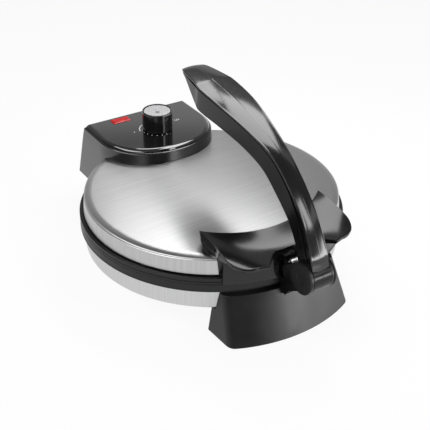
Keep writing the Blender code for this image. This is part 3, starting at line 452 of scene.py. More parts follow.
def turned_part_tree():
    """Turn the points of a profile about the Z axis."""
    tree, given, outside = new_tree("turned_part", [("Steps", "Int", 64)])
    profile = given["Geometry"]
    count = add(tree, "GeometryNodeAttributeDomainSize", {"Geometry": profile})
    columns = maths(tree, "ADD", given["Steps"], 1)
    grid = add(tree, "GeometryNodeMeshGrid", {"Vertices X": columns, "Vertices Y": count})
    index = add(tree, "GeometryNodeInputIndex")
    row = maths(tree, "FLOORED_MODULO", index, count)
    column = maths(tree, "FLOOR", maths(tree, "DIVIDE", index, count))
    angle = maths(tree, "MULTIPLY", maths(tree, "DIVIDE", column, given["Steps"]), math.tau)
    place = add(tree, "GeometryNodeInputPosition")
    values = {"Geometry": profile, "Value": place, "Index": row}
    point = add(tree, "GeometryNodeSampleIndex", values, data_type="FLOAT_VECTOR")
    parts = add(tree, "ShaderNodeSeparateXYZ", {0: point}).outputs
    moved = moved_to(tree, grid, around(tree, parts[0], angle, parts[2]))
    merged = add(tree, "GeometryNodeMergeByDistance", {"Geometry": moved, "Distance": 0.000002})
    return handed_out(tree, outside, merged, given["Finish"])


def screw_tree():
    """A screw with a domed head and a crossed recess at each point, along its aim."""
    tree, given, outside = new_tree(
        "cross_screws",
        [
            ("Head Radius", "Float", 0.0033),
            ("Head Height", "Float", 0.0026),
            ("Shank Radius", "Float", 0.002),
            ("Length", "Float", 0.008),
        ],
    )
    radius = given["Head Radius"]
    half = maths(tree, "MULTIPLY", given["Head Height"], 0.5)
    shank_length = maths(tree, "SUBTRACT", given["Length"], half)
    rim = {"Vertices": 32, "Radius": radius, "Depth": half}
    dome = {"Vertices": 32, "Side Segments": 3, "Radius Bottom": radius, "Depth": half}
    dome["Radius Top"] = maths(tree, "MULTIPLY", radius, 0.72)
    shank = {"Vertices": 24, "Radius": given["Shank Radius"], "Depth": shank_length}
    shank_height = maths(tree, "ADD", maths(tree, "MULTIPLY", shank_length, 0.5), half)
    solid = add(tree, "GeometryNodeMeshBoolean", operation="UNION")
    for kind, values, height, tilt in (
        ("Cylinder", rim, maths(tree, "MULTIPLY", half, 1.5), 0.0),
        ("Cone", dome, half, math.pi),
        ("Cylinder", shank, shank_height, 0.0),
    ):
        part = add(tree, "GeometryNodeMesh" + kind, values)
        place = add(tree, "ShaderNodeCombineXYZ", {2: height})
        values = {"Geometry": part, "Translation": place, "Rotation": (tilt, 0.0, 0.0)}
        moved = add(tree, "GeometryNodeTransform", values)
        tree.links.new(moved.outputs[0], solid.inputs[1])
    recessed = add(tree, "GeometryNodeMeshBoolean", {0: solid}, operation="DIFFERENCE")
    long_side, thin_side = [maths(tree, "MULTIPLY", radius, share) for share in (1.15, 0.26)]
    for across, along in ((long_side, thin_side), (thin_side, long_side)):
        size = add(tree, "ShaderNodeCombineXYZ", {0: across, 1: along, 2: given["Head Height"]})
        bar = add(tree, "GeometryNodeMeshCube", {"Size": size})
        tree.links.new(bar.outputs[0], recessed.inputs[1])
    aim = add(tree, "GeometryNodeInputNamedAttribute", {"Name": "aim"}, data_type="FLOAT_VECTOR")
    turn = add(tree, "FunctionNodeAlignRotationToVector", {"Vector": aim}, axis="Z")
    placed = on_points(tree, given["Geometry"], recessed, turn)
    return handed_out(tree, outside, placed, given["Finish"])


def dial_dot_tree():
    """Flat round dots on an arc about each point."""
    tree, given, outside = new_tree(
        "dial_dots",
        [
            ("Count", "Int", 7),
            ("Circle", "Float", 0.017),
            ("First Angle", "Float", 0.0),
            ("Last Angle", "Float", 1.0),
            ("Dot Radius", "Float", 0.0006),
            ("Thickness", "Float", 0.00006),
        ],
    )
    dots = add(tree, "GeometryNodePoints", {"Count": given["Count"]})
    index = add(tree, "GeometryNodeInputIndex")
    share = maths(tree, "DIVIDE", index, maths(tree, "SUBTRACT", given["Count"], 1))
    sweep = maths(tree, "SUBTRACT", given["Last Angle"], given["First Angle"])
    angle = maths(tree, "ADD", given["First Angle"], maths(tree, "MULTIPLY", share, sweep))
    moved = moved_to(tree, dots, around(tree, given["Circle"], angle))
    values = {"Vertices": 20, "Radius": given["Dot Radius"], "Depth": given["Thickness"]}
    disc = add(tree, "GeometryNodeMeshCylinder", values)
    dial = on_points(tree, given["Geometry"], on_points(tree, moved, disc))
    return handed_out(tree, outside, dial, given["Finish"])


def rib_tree():
    """Round ribs along a path, one below another."""
    tree, given, outside = new_tree(
        "stacked_ribs",
        [("Count", "Int", 4), ("Drop", "Float", 0.002), ("Rib Radius", "Float", 0.0005)],
    )
    path = add(tree, "GeometryNodeMeshToCurve", {"Mesh": given["Geometry"]})
    values = {"Resolution": 12, "Radius": given["Rib Radius"]}
    cut = add(tree, "GeometryNodeCurvePrimitiveCircle", values)
    values = {"Curve": path, "Profile Curve": cut, "Fill Caps": True}
    rib = add(tree, "GeometryNodeCurveToMesh", values)
    points = add(tree, "GeometryNodePoints", {"Count": given["Count"]})
    index = add(tree, "GeometryNodeInputIndex")
    fall = maths(tree, "MULTIPLY", maths(tree, "MULTIPLY", index, given["Drop"]), -1.0)
    place = add(tree, "ShaderNodeCombineXYZ", {2: fall})
    stack = on_points(tree, moved_to(tree, points, place), rib)
    return handed_out(tree, outside, stack, given["Finish"])


def run_tree(name, make_tree, points, edges, finish, values, aims=None):
    """Make an object from points and edges, run a tree on it and keep the plain mesh."""
    mesh = bpy.data.meshes.new(name)
    mesh.from_pydata(points, edges, [])
    if aims:
        aim = mesh.attributes.new("aim", "FLOAT_VECTOR", "POINT")
        for entry, direction in zip(aim.data, aims):
            entry.vector = direction
    piece = linked(name, mesh)
    modifier = piece.modifiers.new(name, "NODES")
    tree = make_tree()
    modifier.node_group = tree
    values = {**values, "Finish": finishes[finish]}
    for item in tree.interface.items_tree:
        if item.in_out == "INPUT" and item.name in values:
            modifier[item.identifier] = values[item.name]
    apply_modifiers(piece)
    bpy.data.node_groups.remove(tree)
    close_mesh(piece.data)
    return piece


def turned_piece(name, profile, steps, finish, body, nodes):
    """A finished piece turned about the plates' axis from (radius, height) points."""
    closed = profile[0][0] > 0 or profile[-1][0] > 0
    line = list(profile) + ([profile[0]] if closed else [])
    points = [(radius, 0.0, level) for radius, level in line]
    piece = run_tree(name, turned_part_tree, points, [], finish, {"Steps": steps})
    return finished(shade(piece), finish, body, nodes)


# Materials


def new_material(name, colour, roughness, values=None):
    """A material, its tree and its shader, with other inputs of the shader by name."""
    material = bpy.data.materials.new(name)
    material.use_nodes = True
    material.diffuse_color = (*colour, 1.0)
    shader = material.node_tree.nodes["Principled BSDF"]
    start = {"Base Color": (*colour, 1.0), "Roughness": roughness}
    for field, value in {**start, **(values or {})}.items():
        shader.inputs[field].default_value = value
    return material, material.node_tree, shader


def mapped(tree, place, stretch, shift=(0.0, 0.0, 0.0)):
    return add(tree, "ShaderNodeMapping", {"Vector": place, "Scale": stretch, "Location": shift})


def object_place(tree, stretch=(1.0, 1.0, 1.0), shift=(0.0, 0.0, 0.0)):
    return mapped(tree, add(tree, "ShaderNodeTexCoord").outputs["Object"], stretch, shift)


def cloud(tree, place, scale, detail=3.0, rough=0.55):
    values = {"Vector": place, "Scale": scale, "Detail": detail, "Roughness": rough}
    return add(tree, "ShaderNodeTexNoise", values)


def turned_rings(tree, place, scale, distortion):
    values = {"Vector": place, "Scale": scale, "Distortion": distortion}
    wave = {"wave_type": "RINGS", "rings_direction": "Z"}
    return add(tree, "ShaderNodeTexWave", values, **wave).outputs["Fac"]


def between(tree, value, low, high, first=0.35, last=0.65):
    values = {"Value": value, "From Min": first, "From Max": last, "To Min": low, "To Max": high}
    return add(tree, "ShaderNodeMapRange", values)


def tinted(tree, value, colour, low, high):
    """Vary a colour between two shares of itself."""
    values = {0: tuple(colour), "Scale": between(tree, value, low, high, 0.3, 0.7)}
    return add(tree, "ShaderNodeVectorMath", values, operation="SCALE")


def ramped(tree, value, *ends):
    """Pass from one colour to another."""
    ramp = add(tree, "ShaderNodeValToRGB", {0: value})
    for element, colour in zip(ramp.color_ramp.elements, ends):
        element.color = (*colour, 1.0)
    return ramp


def driven(tree, shader, colour, roughness, height=None, distance=0.0, strength=1.0):
    """Link the shader's colour and roughness, and a bump if there is a height."""
    tree.links.new(colour.outputs[0], shader.inputs["Base Color"])
    tree.links.new(roughness.outputs[0], shader.inputs["Roughness"])
    if height:
        values = {"Height": height, "Distance": distance, "Strength": strength}
        bump = add(tree, "ShaderNodeBump", values)
        tree.links.new(bump.outputs[0], shader.inputs["Normal"])


def brushed_steel(name, colour, roughness):
    """Steel with fine lines along the U of its own UV map."""
    values = {"Metallic": 1.0, "Anisotropic": 0.85, "Anisotropic Rotation": 0.25}
    material, tree, shader = new_material(name, colour, roughness, values)
    tangent = add(tree, "ShaderNodeTangent", direction_type="UV_MAP", uv_map="brush")
    tree.links.new(tangent.outputs[0], shader.inputs["Tangent"])
    place = add(tree, "ShaderNodeUVMap", uv_map="brush")
    fine_lines, lines = [
        cloud(tree, mapped(tree, place, (*scale, 1.0)), 1.0, 4.0, rough)
        for scale, rough in (((22.0, 2600.0), 0.6), ((9.0, 520.0), 0.7))
    ]
    tint = tinted(tree, lines, colour, 0.9, 1.09)
    gloss = between(tree, lines, roughness * 0.95, roughness * 1.06)
    driven(tree, shader, tint, gloss, fine_lines, 0.000001, 0.08)
    return material


def moulded(name, colour, roughness, grain, grain_scale, level, coat=0.0):
    """Moulded plastic: a fine grain, a slow change of gloss and faint pale wear."""
    values = {"Specular IOR Level": level, "Coat Weight": coat, "Coat Roughness": 0.06}
    material, tree, shader = new_material(name, colour, roughness, values)
    place = object_place(tree)
    slow = cloud(tree, place, 38.0, 4.0)
    fine = cloud(tree, place, grain_scale, 2.0)
    gloss = between(tree, slow, roughness * 0.9, roughness * 1.1)
    driven(tree, shader, tinted(tree, slow, colour, 0.8, 1.3), gloss, fine, grain, 0.5)
    return material


def metal(name, colour, roughness, stretch=(1.0, 1.0, 1.0)):
    """Plain machined metal with fine lines and faint stains."""
    material, tree, shader = new_material(name, colour, roughness, {"Metallic": 1.0})
    lines = cloud(tree, object_place(tree, stretch), 900.0)
    stains = cloud(tree, object_place(tree), 60.0, 4.0)
    gloss = between(tree, lines, roughness * 0.75, roughness * 1.3)
    driven(tree, shader, tinted(tree, stains, colour, 0.82, 1.1), gloss, lines, 0.00003, 0.3)
    return material


def mineral(name, colour, roughness, scale=500.0):
    """Ceramic, rubber and other dull matter with a granular surface."""
    values = {"Specular IOR Level": 0.35}
    material, tree, shader = new_material(name, colour, roughness, values)
    grains = cloud(tree, object_place(tree), scale, 5.0, 0.65)
    gloss = between(tree, grains, roughness * 0.9, min(roughness * 1.1, 1.0))
    driven(tree, shader, tinted(tree, grains, colour, 0.8, 1.15), gloss, grains, 0.00006, 0.4)
    return material


def cooking_coat(name):
    """Dark non-stick coat with fine pale specks and turned rings."""
    values = {"Coat Weight": 0.25, "Coat Roughness": 0.3}
    material, tree, shader = new_material(name, (0.03, 0.03, 0.032), 0.42, values)
    place = object_place(tree)
    specks = cloud(tree, place, 1400.0, 2.0)
    share = between(tree, specks, 0.0, 1.0, 0.66, 0.74)
    ramp = ramped(tree, share, (0.022, 0.022, 0.024), (0.16, 0.16, 0.165))
    rings = turned_rings(tree, place, 380.0, 0.6)
    driven(tree, shader, ramp, between(tree, specks, 0.36, 0.5), rings, 0.00002, 0.3)
    return material


def heater_sheath(name):
    """Sheathed element with heat colours along it."""
    colour = (0.24, 0.2, 0.17)
    material, tree, shader = new_material(name, colour, 0.45, {"Metallic": 0.9})
    place = object_place(tree)
    ramp = ramped(tree, cloud(tree, place, 45.0, 4.0), (0.1, 0.09, 0.1), (0.36, 0.27, 0.18))
    fine = cloud(tree, place, 1100.0, 2.0)
    driven(tree, shader, ramp, between(tree, fine, 0.35, 0.6), fine, 0.00004, 0.3)
    return material


def lens_red(name, colour):
    """Clear red plastic over a pale reflector."""
    values = {"Specular IOR Level": 0.25, "Subsurface Weight": 0.15, "Subsurface Scale": 1.0}
    values["Subsurface Radius"] = (0.004, 0.0008, 0.0008)
    material, tree, shader = new_material(name, colour, 0.16, values)
    streaks = cloud(tree, object_place(tree, (1.0, 0.35, 1.0)), 420.0)
    tint = tinted(tree, streaks, colour, 0.82, 1.12)
    driven(tree, shader, tint, between(tree, streaks, 0.12, 0.24))
    return material


def lamp_glass(name, colour):
    values = {"Transmission Weight": 0.8, "IOR": 1.5}
    material, tree, shader = new_material(name, colour, 0.08, values)
    wisps = cloud(tree, object_place(tree), 260.0)
    tint = tinted(tree, wisps, colour, 0.9, 1.05)
    driven(tree, shader, tint, between(tree, wisps, 0.05, 0.14))
    return material


def printed_white(name, colour):
    material, tree, shader = new_material(name, colour, 0.5)
    ink = cloud(tree, object_place(tree), 2200.0, 2.0)
    driven(tree, shader, tinted(tree, ink, colour, 0.9, 1.08), between(tree, ink, 0.42, 0.6))
    return material


def spun_silver(name, colour):
    """Silver disc with fine rings turned into it."""
    material, tree, shader = new_material(name, colour, 0.32, {"Metallic": 0.85})
    centred = object_place(tree, shift=(0.0, -knob_back, 0.0))
    rings = turned_rings(tree, centred, 900.0, 0.4)
    gloss = between(tree, rings, 0.27, 0.38, 0.0, 1.0)
    driven(tree, shader, tinted(tree, rings, colour, 0.94, 1.05), gloss, rings, 0.00001, 0.25)
    return material


finishes = {}


class ROTI_OT_finishes(bpy.types.Operator):
    """Make the finishes that all the pieces share"""

    bl_idname = "roti.finishes"
    bl_label = "Finishes"

    def execute(self, context):
        casing, plastic = context.scene.roti_casing, context.scene.roti_plastic
        gloss, satin, grain = tuple(plastic.gloss), tuple(plastic.satin), plastic.grain
        bright = tuple(share * 1.14 for share in casing.steel)
        soft = tuple(share * 0.93 for share in casing.steel)
        finishes.update(
            lid_steel=brushed_steel("brushed_lid_steel", soft, casing.brushing),
            pan_steel=brushed_steel("brushed_pan_steel", bright, casing.brushing * 1.3),
            gloss=moulded("polished_black", gloss, 0.15, grain * 0.1, 900.0, 0.6),
            panel=moulded("panel_black", gloss, 0.12, grain * 0.05, 900.0, 1.0, 0.8),
            hood=moulded("hood_black", gloss, 0.2, grain * 0.3, 1500.0, 0.8),
            grip=moulded("grip_black", gloss, 0.15, grain * 0.1, 900.0, 0.42),
            arm=moulded("arm_black", gloss, 0.22, grain * 0.2, 1200.0, 0.3),
            satin=moulded("satin_black", satin, 0.36, grain, 1500.0, 0.4),
            ring=moulded("ring_black", satin, 0.42, grain, 1500.0, 0.35),
            dull=moulded("dull_black", satin, 0.62, grain * 2, 1100.0, 0.3),
            rubber=mineral("pad_rubber", (0.02, 0.02, 0.021), 0.85),
            ceramic=mineral("cream_ceramic", (0.72, 0.67, 0.57), 0.7, 260.0),
            coat=cooking_coat("non_stick_coat"), sheath=heater_sheath("heater_sheath"),
            steel=metal("plain_steel", (0.55, 0.55, 0.56), 0.32),
            shield=metal("shield_steel", (0.62, 0.62, 0.63), 0.38, (1.0, 0.1, 1.0)),
            zinc=metal("zinc_screw", (0.6, 0.6, 0.58), 0.35),
            brass=metal("brass", (0.72, 0.5, 0.2), 0.3),
            silver=spun_silver("silver_cap", (0.82, 0.82, 0.83)),
            lens=lens_red("red_lens", tuple(plastic.red)),
            glass=lamp_glass("lamp_glass", (0.9, 0.62, 0.5)),
            white=printed_white("printed_white", (0.8, 0.8, 0.8)),
        )
        return {"FINISHED"}


# Casings


def brush_map(piece, flat_height):
    """Lay a UV map in metres: along X on the top, up and down on the walls."""
    mesh = piece.data
    layer = mesh.uv_layers.new(name="brush")
    for face in mesh.polygons:
        top = abs(face.normal.z) > 0.55
        middle = math.atan2(face.center.y, face.center.x)
        for corner in face.loop_indices:
            spot = mesh.vertices[mesh.loops[corner].vertex_index].co
            if top:
                layer.data[corner].uv = (spot.x, spot.y)
                continue
            angle = math.atan2(spot.y, spot.x)
            while angle - middle > math.pi:
                angle -= math.tau
            while middle - angle > math.pi:
                angle += math.tau
            layer.data[corner].uv = (spot.z + flat_height, angle * wall_radius)


def lid_line():
    """Outer line of the steel cover: a low dome, a rounded shoulder and a flared wall."""
    dome = []
    for step in range(9):
        radius = crown_edge * step / 8
        dome.append((radius, crown - crown_drop * (radius / crown_edge) ** 2))
    low_crown = crown - crown_drop
    bend = []
    for step in range(1, 15):
        turn = math.radians(86 * step / 14)
        reach = (shoulder_radius - crown_edge) * math.sin(turn)
        bend.append((crown_edge + reach, low_crown - (low_crown - wall_top) * (1 - math.cos(turn))))
    crease = [
        (shoulder_radius - 0.0001, wall_top - 0.0002),
        (shoulder_radius + 0.0002, wall_top - 0.0005),
    ]
    return dome + bend + crease + [(wall_radius, shell_low.z)]


def pan_line(floor, corner):
    """Outer line of the pan: a floor with a turned bead, a rounded corner and a wall."""
    crest = floor + 0.0009
    bead = [(0.052, floor), (0.0545, crest), (0.0575, crest), (0.06, floor)]
    wall = [(0.06, floor), (wall_radius, floor), (wall_radius, pan_high.z)]
    bend = rounded(wall, [0, corner, 0], 8, False)
    return [(0.0, floor)] + rounded(bead, 0.001, 3, False) + bend[1:]


def inside_of(line, thickness):
    """The same open line moved in by a thickness."""
    moved = []
    last = len(line) - 1
    for index, (radius, height) in enumerate(line):
        before = Vector(line[max(index - 1, 0)])
        after = Vector(line[min(index + 1, last)])
        step = (after - before).normalized()
        moved.append((max(radius + step.y * thickness, 0.0), height - step.x * thickness))
    moved[0] = (0.0, moved[0][1])
    return moved


class ROTI_OT_casings(bpy.types.Operator):
    """Make the steel cover, the steel pan and the two rings between them"""

    bl_idname = "roti.casings"
    bl_label = "Casings"

    def execute(self, context):
        sizes = context.scene.roti_casing
        steps, corner = sizes.steps, sizes.pan_corner
        outer = lid_line()
        line = outer + inside_of(outer, sheet)[::-1]
        brush_map(turned_piece("lid_cover", line, steps, "lid_steel", "lid", ["lid_shell"]), 0.0)
        line = pan_line(pan_floor, corner) + inside_of(pan_line(pan_low.z, corner), -sheet)[::-1]
        brush_map(turned_piece("pan_casing", line, steps, "pan_steel", "base", ["base_pan"]), 0.3)
        self.rings(sizes)
        return {"FINISHED"}

    def rings(self, sizes):
        edge, groove, slight = sizes.edge, sizes.groove, 0.0002
        bore, skirt, low = plate_radius + gap, ring_radius - 0.0056, base_top - 0.0079
        step, roof = ring_radius - groove * 0.5, base_top - 0.0035
        face = [(skirt, low), (ring_radius, low), (ring_radius, low + 0.0012)]
        face += [(step, low + 0.0014), (step, base_top)]
        face += [(bore, base_top), (bore, roof), (skirt, roof)]
        face = rounded(face, [edge, edge, slight, slight, edge, edge, edge, 0], 3)
        turned_piece("base_band", face, sizes.steps, "ring", "base", ["base_ring"])
        bottom, top = lid_ring_low.z, lid_ring_top
        line, lip = bottom + 0.0024, wall_radius - sheet - 2 * gap
        inner_lip = lip - 0.003
        face = [(bore, bottom), (ring_radius, bottom), (ring_radius, line)]
        face += [(ring_radius - groove, line + 0.0001), (ring_radius - groove, line + 0.0005)]
        face += [(ring_radius, line + 0.0006), (ring_radius, top), (lip + 0.0022, top)]
        face += [(lip + 0.0018, top - 0.0005), (lip, top - 0.0005), (lip, top + 0.0052)]
        face += [(inner_lip, top + 0.0052), (inner_lip, bottom + 0.0035), (bore, bottom + 0.0035)]
        easing = [edge, edge, slight, 0, 0, slight, edge, slight, 0, 0, slight, slight, 0, edge]
        face = rounded(face, easing, 3)
        turned_piece("lid_band", face, sizes.steps, "ring", "lid", ["lid_ring"])


class ROTI_OT_plates(bpy.types.Operator):
    """Make the two coated cooking plates"""

    bl_idname = "roti.plates"
    bl_label = "Cooking plates"

    def execute(self, context):
        steps = context.scene.roti_casing.steps
        for name, node, body, face, back in (
            ("lower_cooking_plate", "bottom_plate", "base", plate_high.z, plate_low.z),
            ("upper_cooking_plate", "top_plate", "lid", top_plate_low.z, top_plate_high.z),
        ):
            floor = face + (1 if back > face else -1) * 0.0005
            groove = ((0.0075, face), (0.0068, floor), (0.0056, floor), (0.0049, face))
            line = [(0.0, face)] + [(plate_radius - inward, z) for inward, z in groove]
            line += [(plate_radius, face), (plate_radius, back), (plate_radius - 0.0018, back)]
            line += [(0.0, back)]
            easing = [0, 0.0004, 0.0004, 0.0004, 0.0004, 0.0009, 0.0014, 0, 0]
            turned_piece(name, rounded(line, easing, 3, False), steps, "coat", body, [node])
        return {"FINISHED"}


# Feet: the side is the direction along Y, outer and inner are half widths at the floor, and
# the narrowing is what each loses up to the top


Foot = namedtuple(
    "Foot", "node side top floor_radius top_radius outer inner reach narrowing corner"
)
front_foot = Foot("front_foot", -1, 0.045, 0.1545, 0.134, 0.068, 0.0695, 0.104, 0.0068, 0.007)
rear_foot = Foot("rear_foot", 1, 0.042, 0.149, 0.134, 0.043, 0.047, 0.100, 0.001, 0.0035)
foot_wall = 0.003
foot_roof = pan_floor - gap
foot_cavity_top = foot_roof - 0.0027


def foot_outline(foot, height, inset, corner):
    """A foot's outline at a height: an arc about the plates' axis and an inner end."""
    share = min(max(height / foot.top, 0.0), 1.05)
    radius = foot.floor_radius + (foot.top_radius - foot.floor_radius) * share - inset
    half = foot.outer - foot.narrowing * share - inset
    inner_half = foot.inner - foot.narrowing * share - inset
    inner_end = foot.side * (foot.reach + inset)
    count, kept = 36, 3
    line = []
    for step in range(count + 1):
        x = half - 2 * half * step / count
        line.append((x, foot.side * math.sqrt(radius * radius - x * x)))
    ends = [(-inner_half, inner_end), (inner_half, inner_end)]
    if corner == 0:
        return line + ends
    left = [line[count - kept], line[count], ends[0]]
    right = [ends[1], line[0], line[kept]]
    left, right = [rounded(three, [0, corner, 0], 8, False)[1:-1] for three in (left, right)]
    return right + line[kept : count - kept + 1] + left + ends


def fittings(kind, *feet):
    """The nodes and the places of the feet's pads or screws."""
    found = {}
    for node in [f"{foot.node}_{kind}_{label}" for foot in feet for label in ("left", "right")]:
        low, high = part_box(node)
        found[node] = ((low.x + high.x) / 2, (low.y + high.y) / 2)
    return found


def upright_rods(places, low, high, radius):
    return [rod((x, y, low), (x, y, high), radius) for x, y in places]


def foot_shapes(foot):
    """The cavity round the pad bosses, the pad seats, the pan's seat and the screw holes."""
    pads, screws = [fittings(kind, foot).values() for kind in ("pad", "screw")]
    walls = [(-0.004, foot_wall), (foot_cavity_top, foot_wall)]
    hollow = stacked(lambda z, inset: foot_outline(foot, z, inset, 0), walls)
    bosses = cuts(*upright_rods(pads, -0.01, foot_cavity_top + 0.01, 0.0078))
    seat = spun(drum(wall_radius + gap, foot_roof, foot.top + 0.004), cut_steps)
    holes = upright_rods(screws, foot_cavity_top - 0.004, foot_roof + 0.004, 0.0023)
    sunk = upright_rods(pads, -0.004, 0.0012, 0.0082)
    return [("DIFFERENCE", hollow, bosses)] + cuts(*sunk, seat, *holes)


def foot_solid(foot, edge):
    low, top = 0.0008, foot.top
    levels = [(low, edge), (low + edge * 0.3, edge * 0.3), (low + edge, 0.0), (top * 0.35, 0.0)]
    levels += [(top * 0.7, 0.0), (top - edge, 0.0), (top - edge * 0.3, edge * 0.3), (top, edge)]
    return stacked(lambda z, inset: foot_outline(foot, z, inset, foot.corner), levels)


def screw_set(name, places, aims, measures, body, nodes):
    """Screws at places: head radius, head height, shank radius and length."""
    values = dict(zip(("Head Radius", "Head Height", "Shank Radius", "Length"), measures))
    screws = run_tree(name, screw_tree, places, [], "zinc", values, aims)
    finished(shade(screws), "zinc", body, nodes)


class ROTI_OT_feet(bpy.types.Operator):
    """Make the front foot with its pivot ears and the rear foot with its hinge arms"""

    bl_idname = "roti.feet"
    bl_label = "Feet"

    def execute(self, context):
        sizes = context.scene.roti_foot
        back, knee, face, inner = -0.1354, -0.1395, -0.1465, -0.1316
        tail = [(-0.1475, 0.0488), (-0.1425, 0.0505), (knee, 0.058), (back, 0.066), (back, 0.071)]
        ear = arc(pivot_axis, 0.0146, 60, 275, 40) + rounded(tail, 0.001, 3)
        web = [(inner, 0.04), (knee, 0.04), (face, 0.0505), (face, 0.0595), (knee, 0.0595)]
        web = rounded(web + [(back, base_top), (inner, base_top)], 0.0008, 3)
        front = ears(ear, 0.0096, 0.0122, 0.0003) + [("UNION", sideways(web, -0.0104, 0.0104))]
        front += cuts(crosswise(pivot_axis, 0.017, 0.0033))
        root = [(0.129, base_top), (0.129, 0.036), (0.1445, 0.036), (0.1445, 0.0502)]
        arm = arc(hinge_axis, 0.0075, -80, 110, 30) + rounded(root, 0.0008, 3)
        room = spun(drum(ring_radius + gap, 0.032, 0.06), cut_steps)
        rear = ears(arm, 0.022, 0.03, 0.0004)
        rear += cuts(room, crosswise(hinge_axis, 0.034, hinge_hole))
        for foot, added in ((front_foot, front), (rear_foot, rear)):
            solid, shapes = foot_solid(foot, sizes.edge), foot_shapes(foot) + added
            piece_from(foot.node + "_moulding", solid, "satin", "base", [foot.node], shapes)
        self.pads(sizes.tread_count)
        screws = fittings("screw", front_foot, rear_foot)
        places = [(x, y, foot_cavity_top - gap - 0.0026) for x, y in screws.values()]
        aims, measures = [(0.0, 0.0, 1.0)] * len(places), (0.004, 0.0026, 0.0019, 0.0108)
        screw_set("foot_screws", places, aims, measures, "base", list(screws))
        return {"FINISHED"}

    def pads(self, tread_count):
        inner, pitch, thick = 0.0012, 0.0014, 0.0012
        line = [(0.0, 0.0), (inner, 0.0)]
        for tread in range(tread_count):
            start = inner + pitch * tread
            line += [(start, 0.0003), (start + 0.0004, 0.0003)]
            line += [(start + 0.0005, 0.0), (start + pitch, 0.0)]
        line += [(0.006, 0.0), (0.006, thick), (0.0, thick)]
        easing = [0] * (len(line) - 3) + [0.0003, 0.0002, 0]
        for node, place in fittings("pad", front_foot, rear_foot).items():
            pad = spun(rounded(line, easing, 3, False), 48, (*place, 0.0))
            piece_from(node + "_rubber", pad, "rubber", "base", [node])


class ROTI_OT_pivot(bpy.types.Operator):
    """Make the caps of the lever's pivot"""

    bl_idname = "roti.pivot"
    bl_label = "Pivot caps"

    def execute(self, context):
        line = [(0.0, 0.0138), (0.0042, 0.0138), (0.0052, 0.0143), (0.0122, 0.0145)]
        line += [(0.0149, 0.0141), (0.0149, 0.0125), (0.0, 0.0125)]
        line = rounded(line, [0, 0.0006, 0.0005, 0.001, 0.0009, 0.0001, 0], 4, False)
        for label, side in (("left", -1), ("right", 1)):
            cap = spun(line, 96, (0.0, *pivot_axis), (side, 0.0, 0.0))
            node = f"pivot_cap_{label}"
            piece_from(node + "_disc", cap, "dull", "base", [node])
        return {"FINISHED"}


# Control box


box_fullness = 0.9


def box_rear(height):
    """Where the leaning rear wall stands at a height."""
    return 0.156 + 0.0225 * (panel_high.z - height) / (panel_high.z - box_low.z)


def box_outline(height, inset):
    """A D: straight rear and sides, and a round nose towards the front."""
    share = min(max((panel_high.z - height) / 0.007, 0.0), 1.0)
    grow = 0.0008 + 0.0037 * (1 - (1 - share) ** 2) - inset
    half, reach, rear = 0.059 + grow, 0.056 + grow, box_rear(height) - inset
    front = []
    for x, y in arc((0.0, 0.0), 1.0, 180, 360, 64):
        across = math.copysign(abs(x) ** box_fullness, x)
        front.append((half * across, 0.12 - reach * abs(y) ** box_fullness))
    corner = max(0.0022 - inset * 0.5, 0.0008)
    left = rounded([front[0], (-half, rear), (half, rear)], [0, corner, 0], 5, False)[1:-1]
    right = [(-x, y) for x, y in reversed(left)]
    return left[::-1] + front + right[::-1]


def lid_room():
    """The space of the lid, a clearance larger, that outer pieces are cut back to."""
    step, low = lid_ring_top + gap, 0.028
    skirt = [(wall_radius + gap, step), (ring_radius + gap, step)]
    skirt += [(ring_radius + gap, low), (0.0, low)]
    return spun(inside_of(lid_line(), -gap)[:-1] + skirt, cut_steps)


def corners(low, high, inset):
    """The rectangle of a box seen from above, moved in by an inset."""
    left, right, front, back = low.x + inset, high.x - inset, low.y + inset, high.y - inset
    return [(left, front), (right, front), (right, back), (left, back)]


class ROTI_OT_control_box(bpy.types.Operator):
    """Make the hood of the control box and the panel on top of it"""

    bl_idname = "roti.control_box"
    bl_label = "Control box"

    def execute(self, context):
        low, foot, top = box_low.z, panel_high.z - 0.017, panel_low.z - gap
        below = low - 0.004
        levels = [(low, 0.0003), (low + 0.0003, 0.0), (foot - 0.002, 0.0), (foot, 0.0001)]
        levels += [(foot + 0.002, 0.0), (top - 0.0014, 0.0), (top - 0.0008, 0.0002)]
        levels += [(top - 0.0003, 0.0007), (top, 0.0016)]
        hollow = [(below, 0.0025), (foot, 0.0025), (top + 0.002, 0.0032)]
        slant = [(0.118, 0.066), (0.152, low), (0.152, below), (0.063, below), (0.063, 0.066)]
        notch = [(-0.047, 0.12), (0.047, 0.12), (0.047, 0.1825), (-0.047, 0.1825)]
        start, direction = gland_line()
        ends = [start + direction * reach for reach in (-0.0075, 0.0075)]
        shapes = cuts(
            stacked(box_outline, hollow), lid_room(), sideways(slant, -0.0665, 0.0665),
            upright(notch, below, 0.0501), rod(*ends, 0.005),
        )
        hood = stacked(box_outline, levels)
        piece_from("control_hood", hood, "hood", "lid", ["control_box"], shapes)
        self.panel(context.scene.roti_control)
        return {"FINISHED"}

    def panel(self, sizes):
        top, low = panel_high.z, panel_low.z
        levels = [(low, sizes.groove + 0.0008), (low + 0.0004, sizes.groove)]
        for step in range(9):
            angle = math.radians(90 * step / 8)
            rise = (top - low - 0.0011) * (1 - math.sin(angle))
            inset = sizes.groove * math.cos(angle) + sizes.lip * (1 - math.cos(angle))
            levels.append((top - rise, inset))
        below, above = low - 0.004, top + 0.004
        hole = upright(corners(lens_low, lens_high, -gap), below, above)
        shaft = rod((0.0, knob_back, below), (0.0, knob_back, above), 0.0036)
        panel = stacked(box_outline, levels)
        piece_from("top_panel", panel, "panel", "lid", ["control_panel"], cuts(hole, shaft))


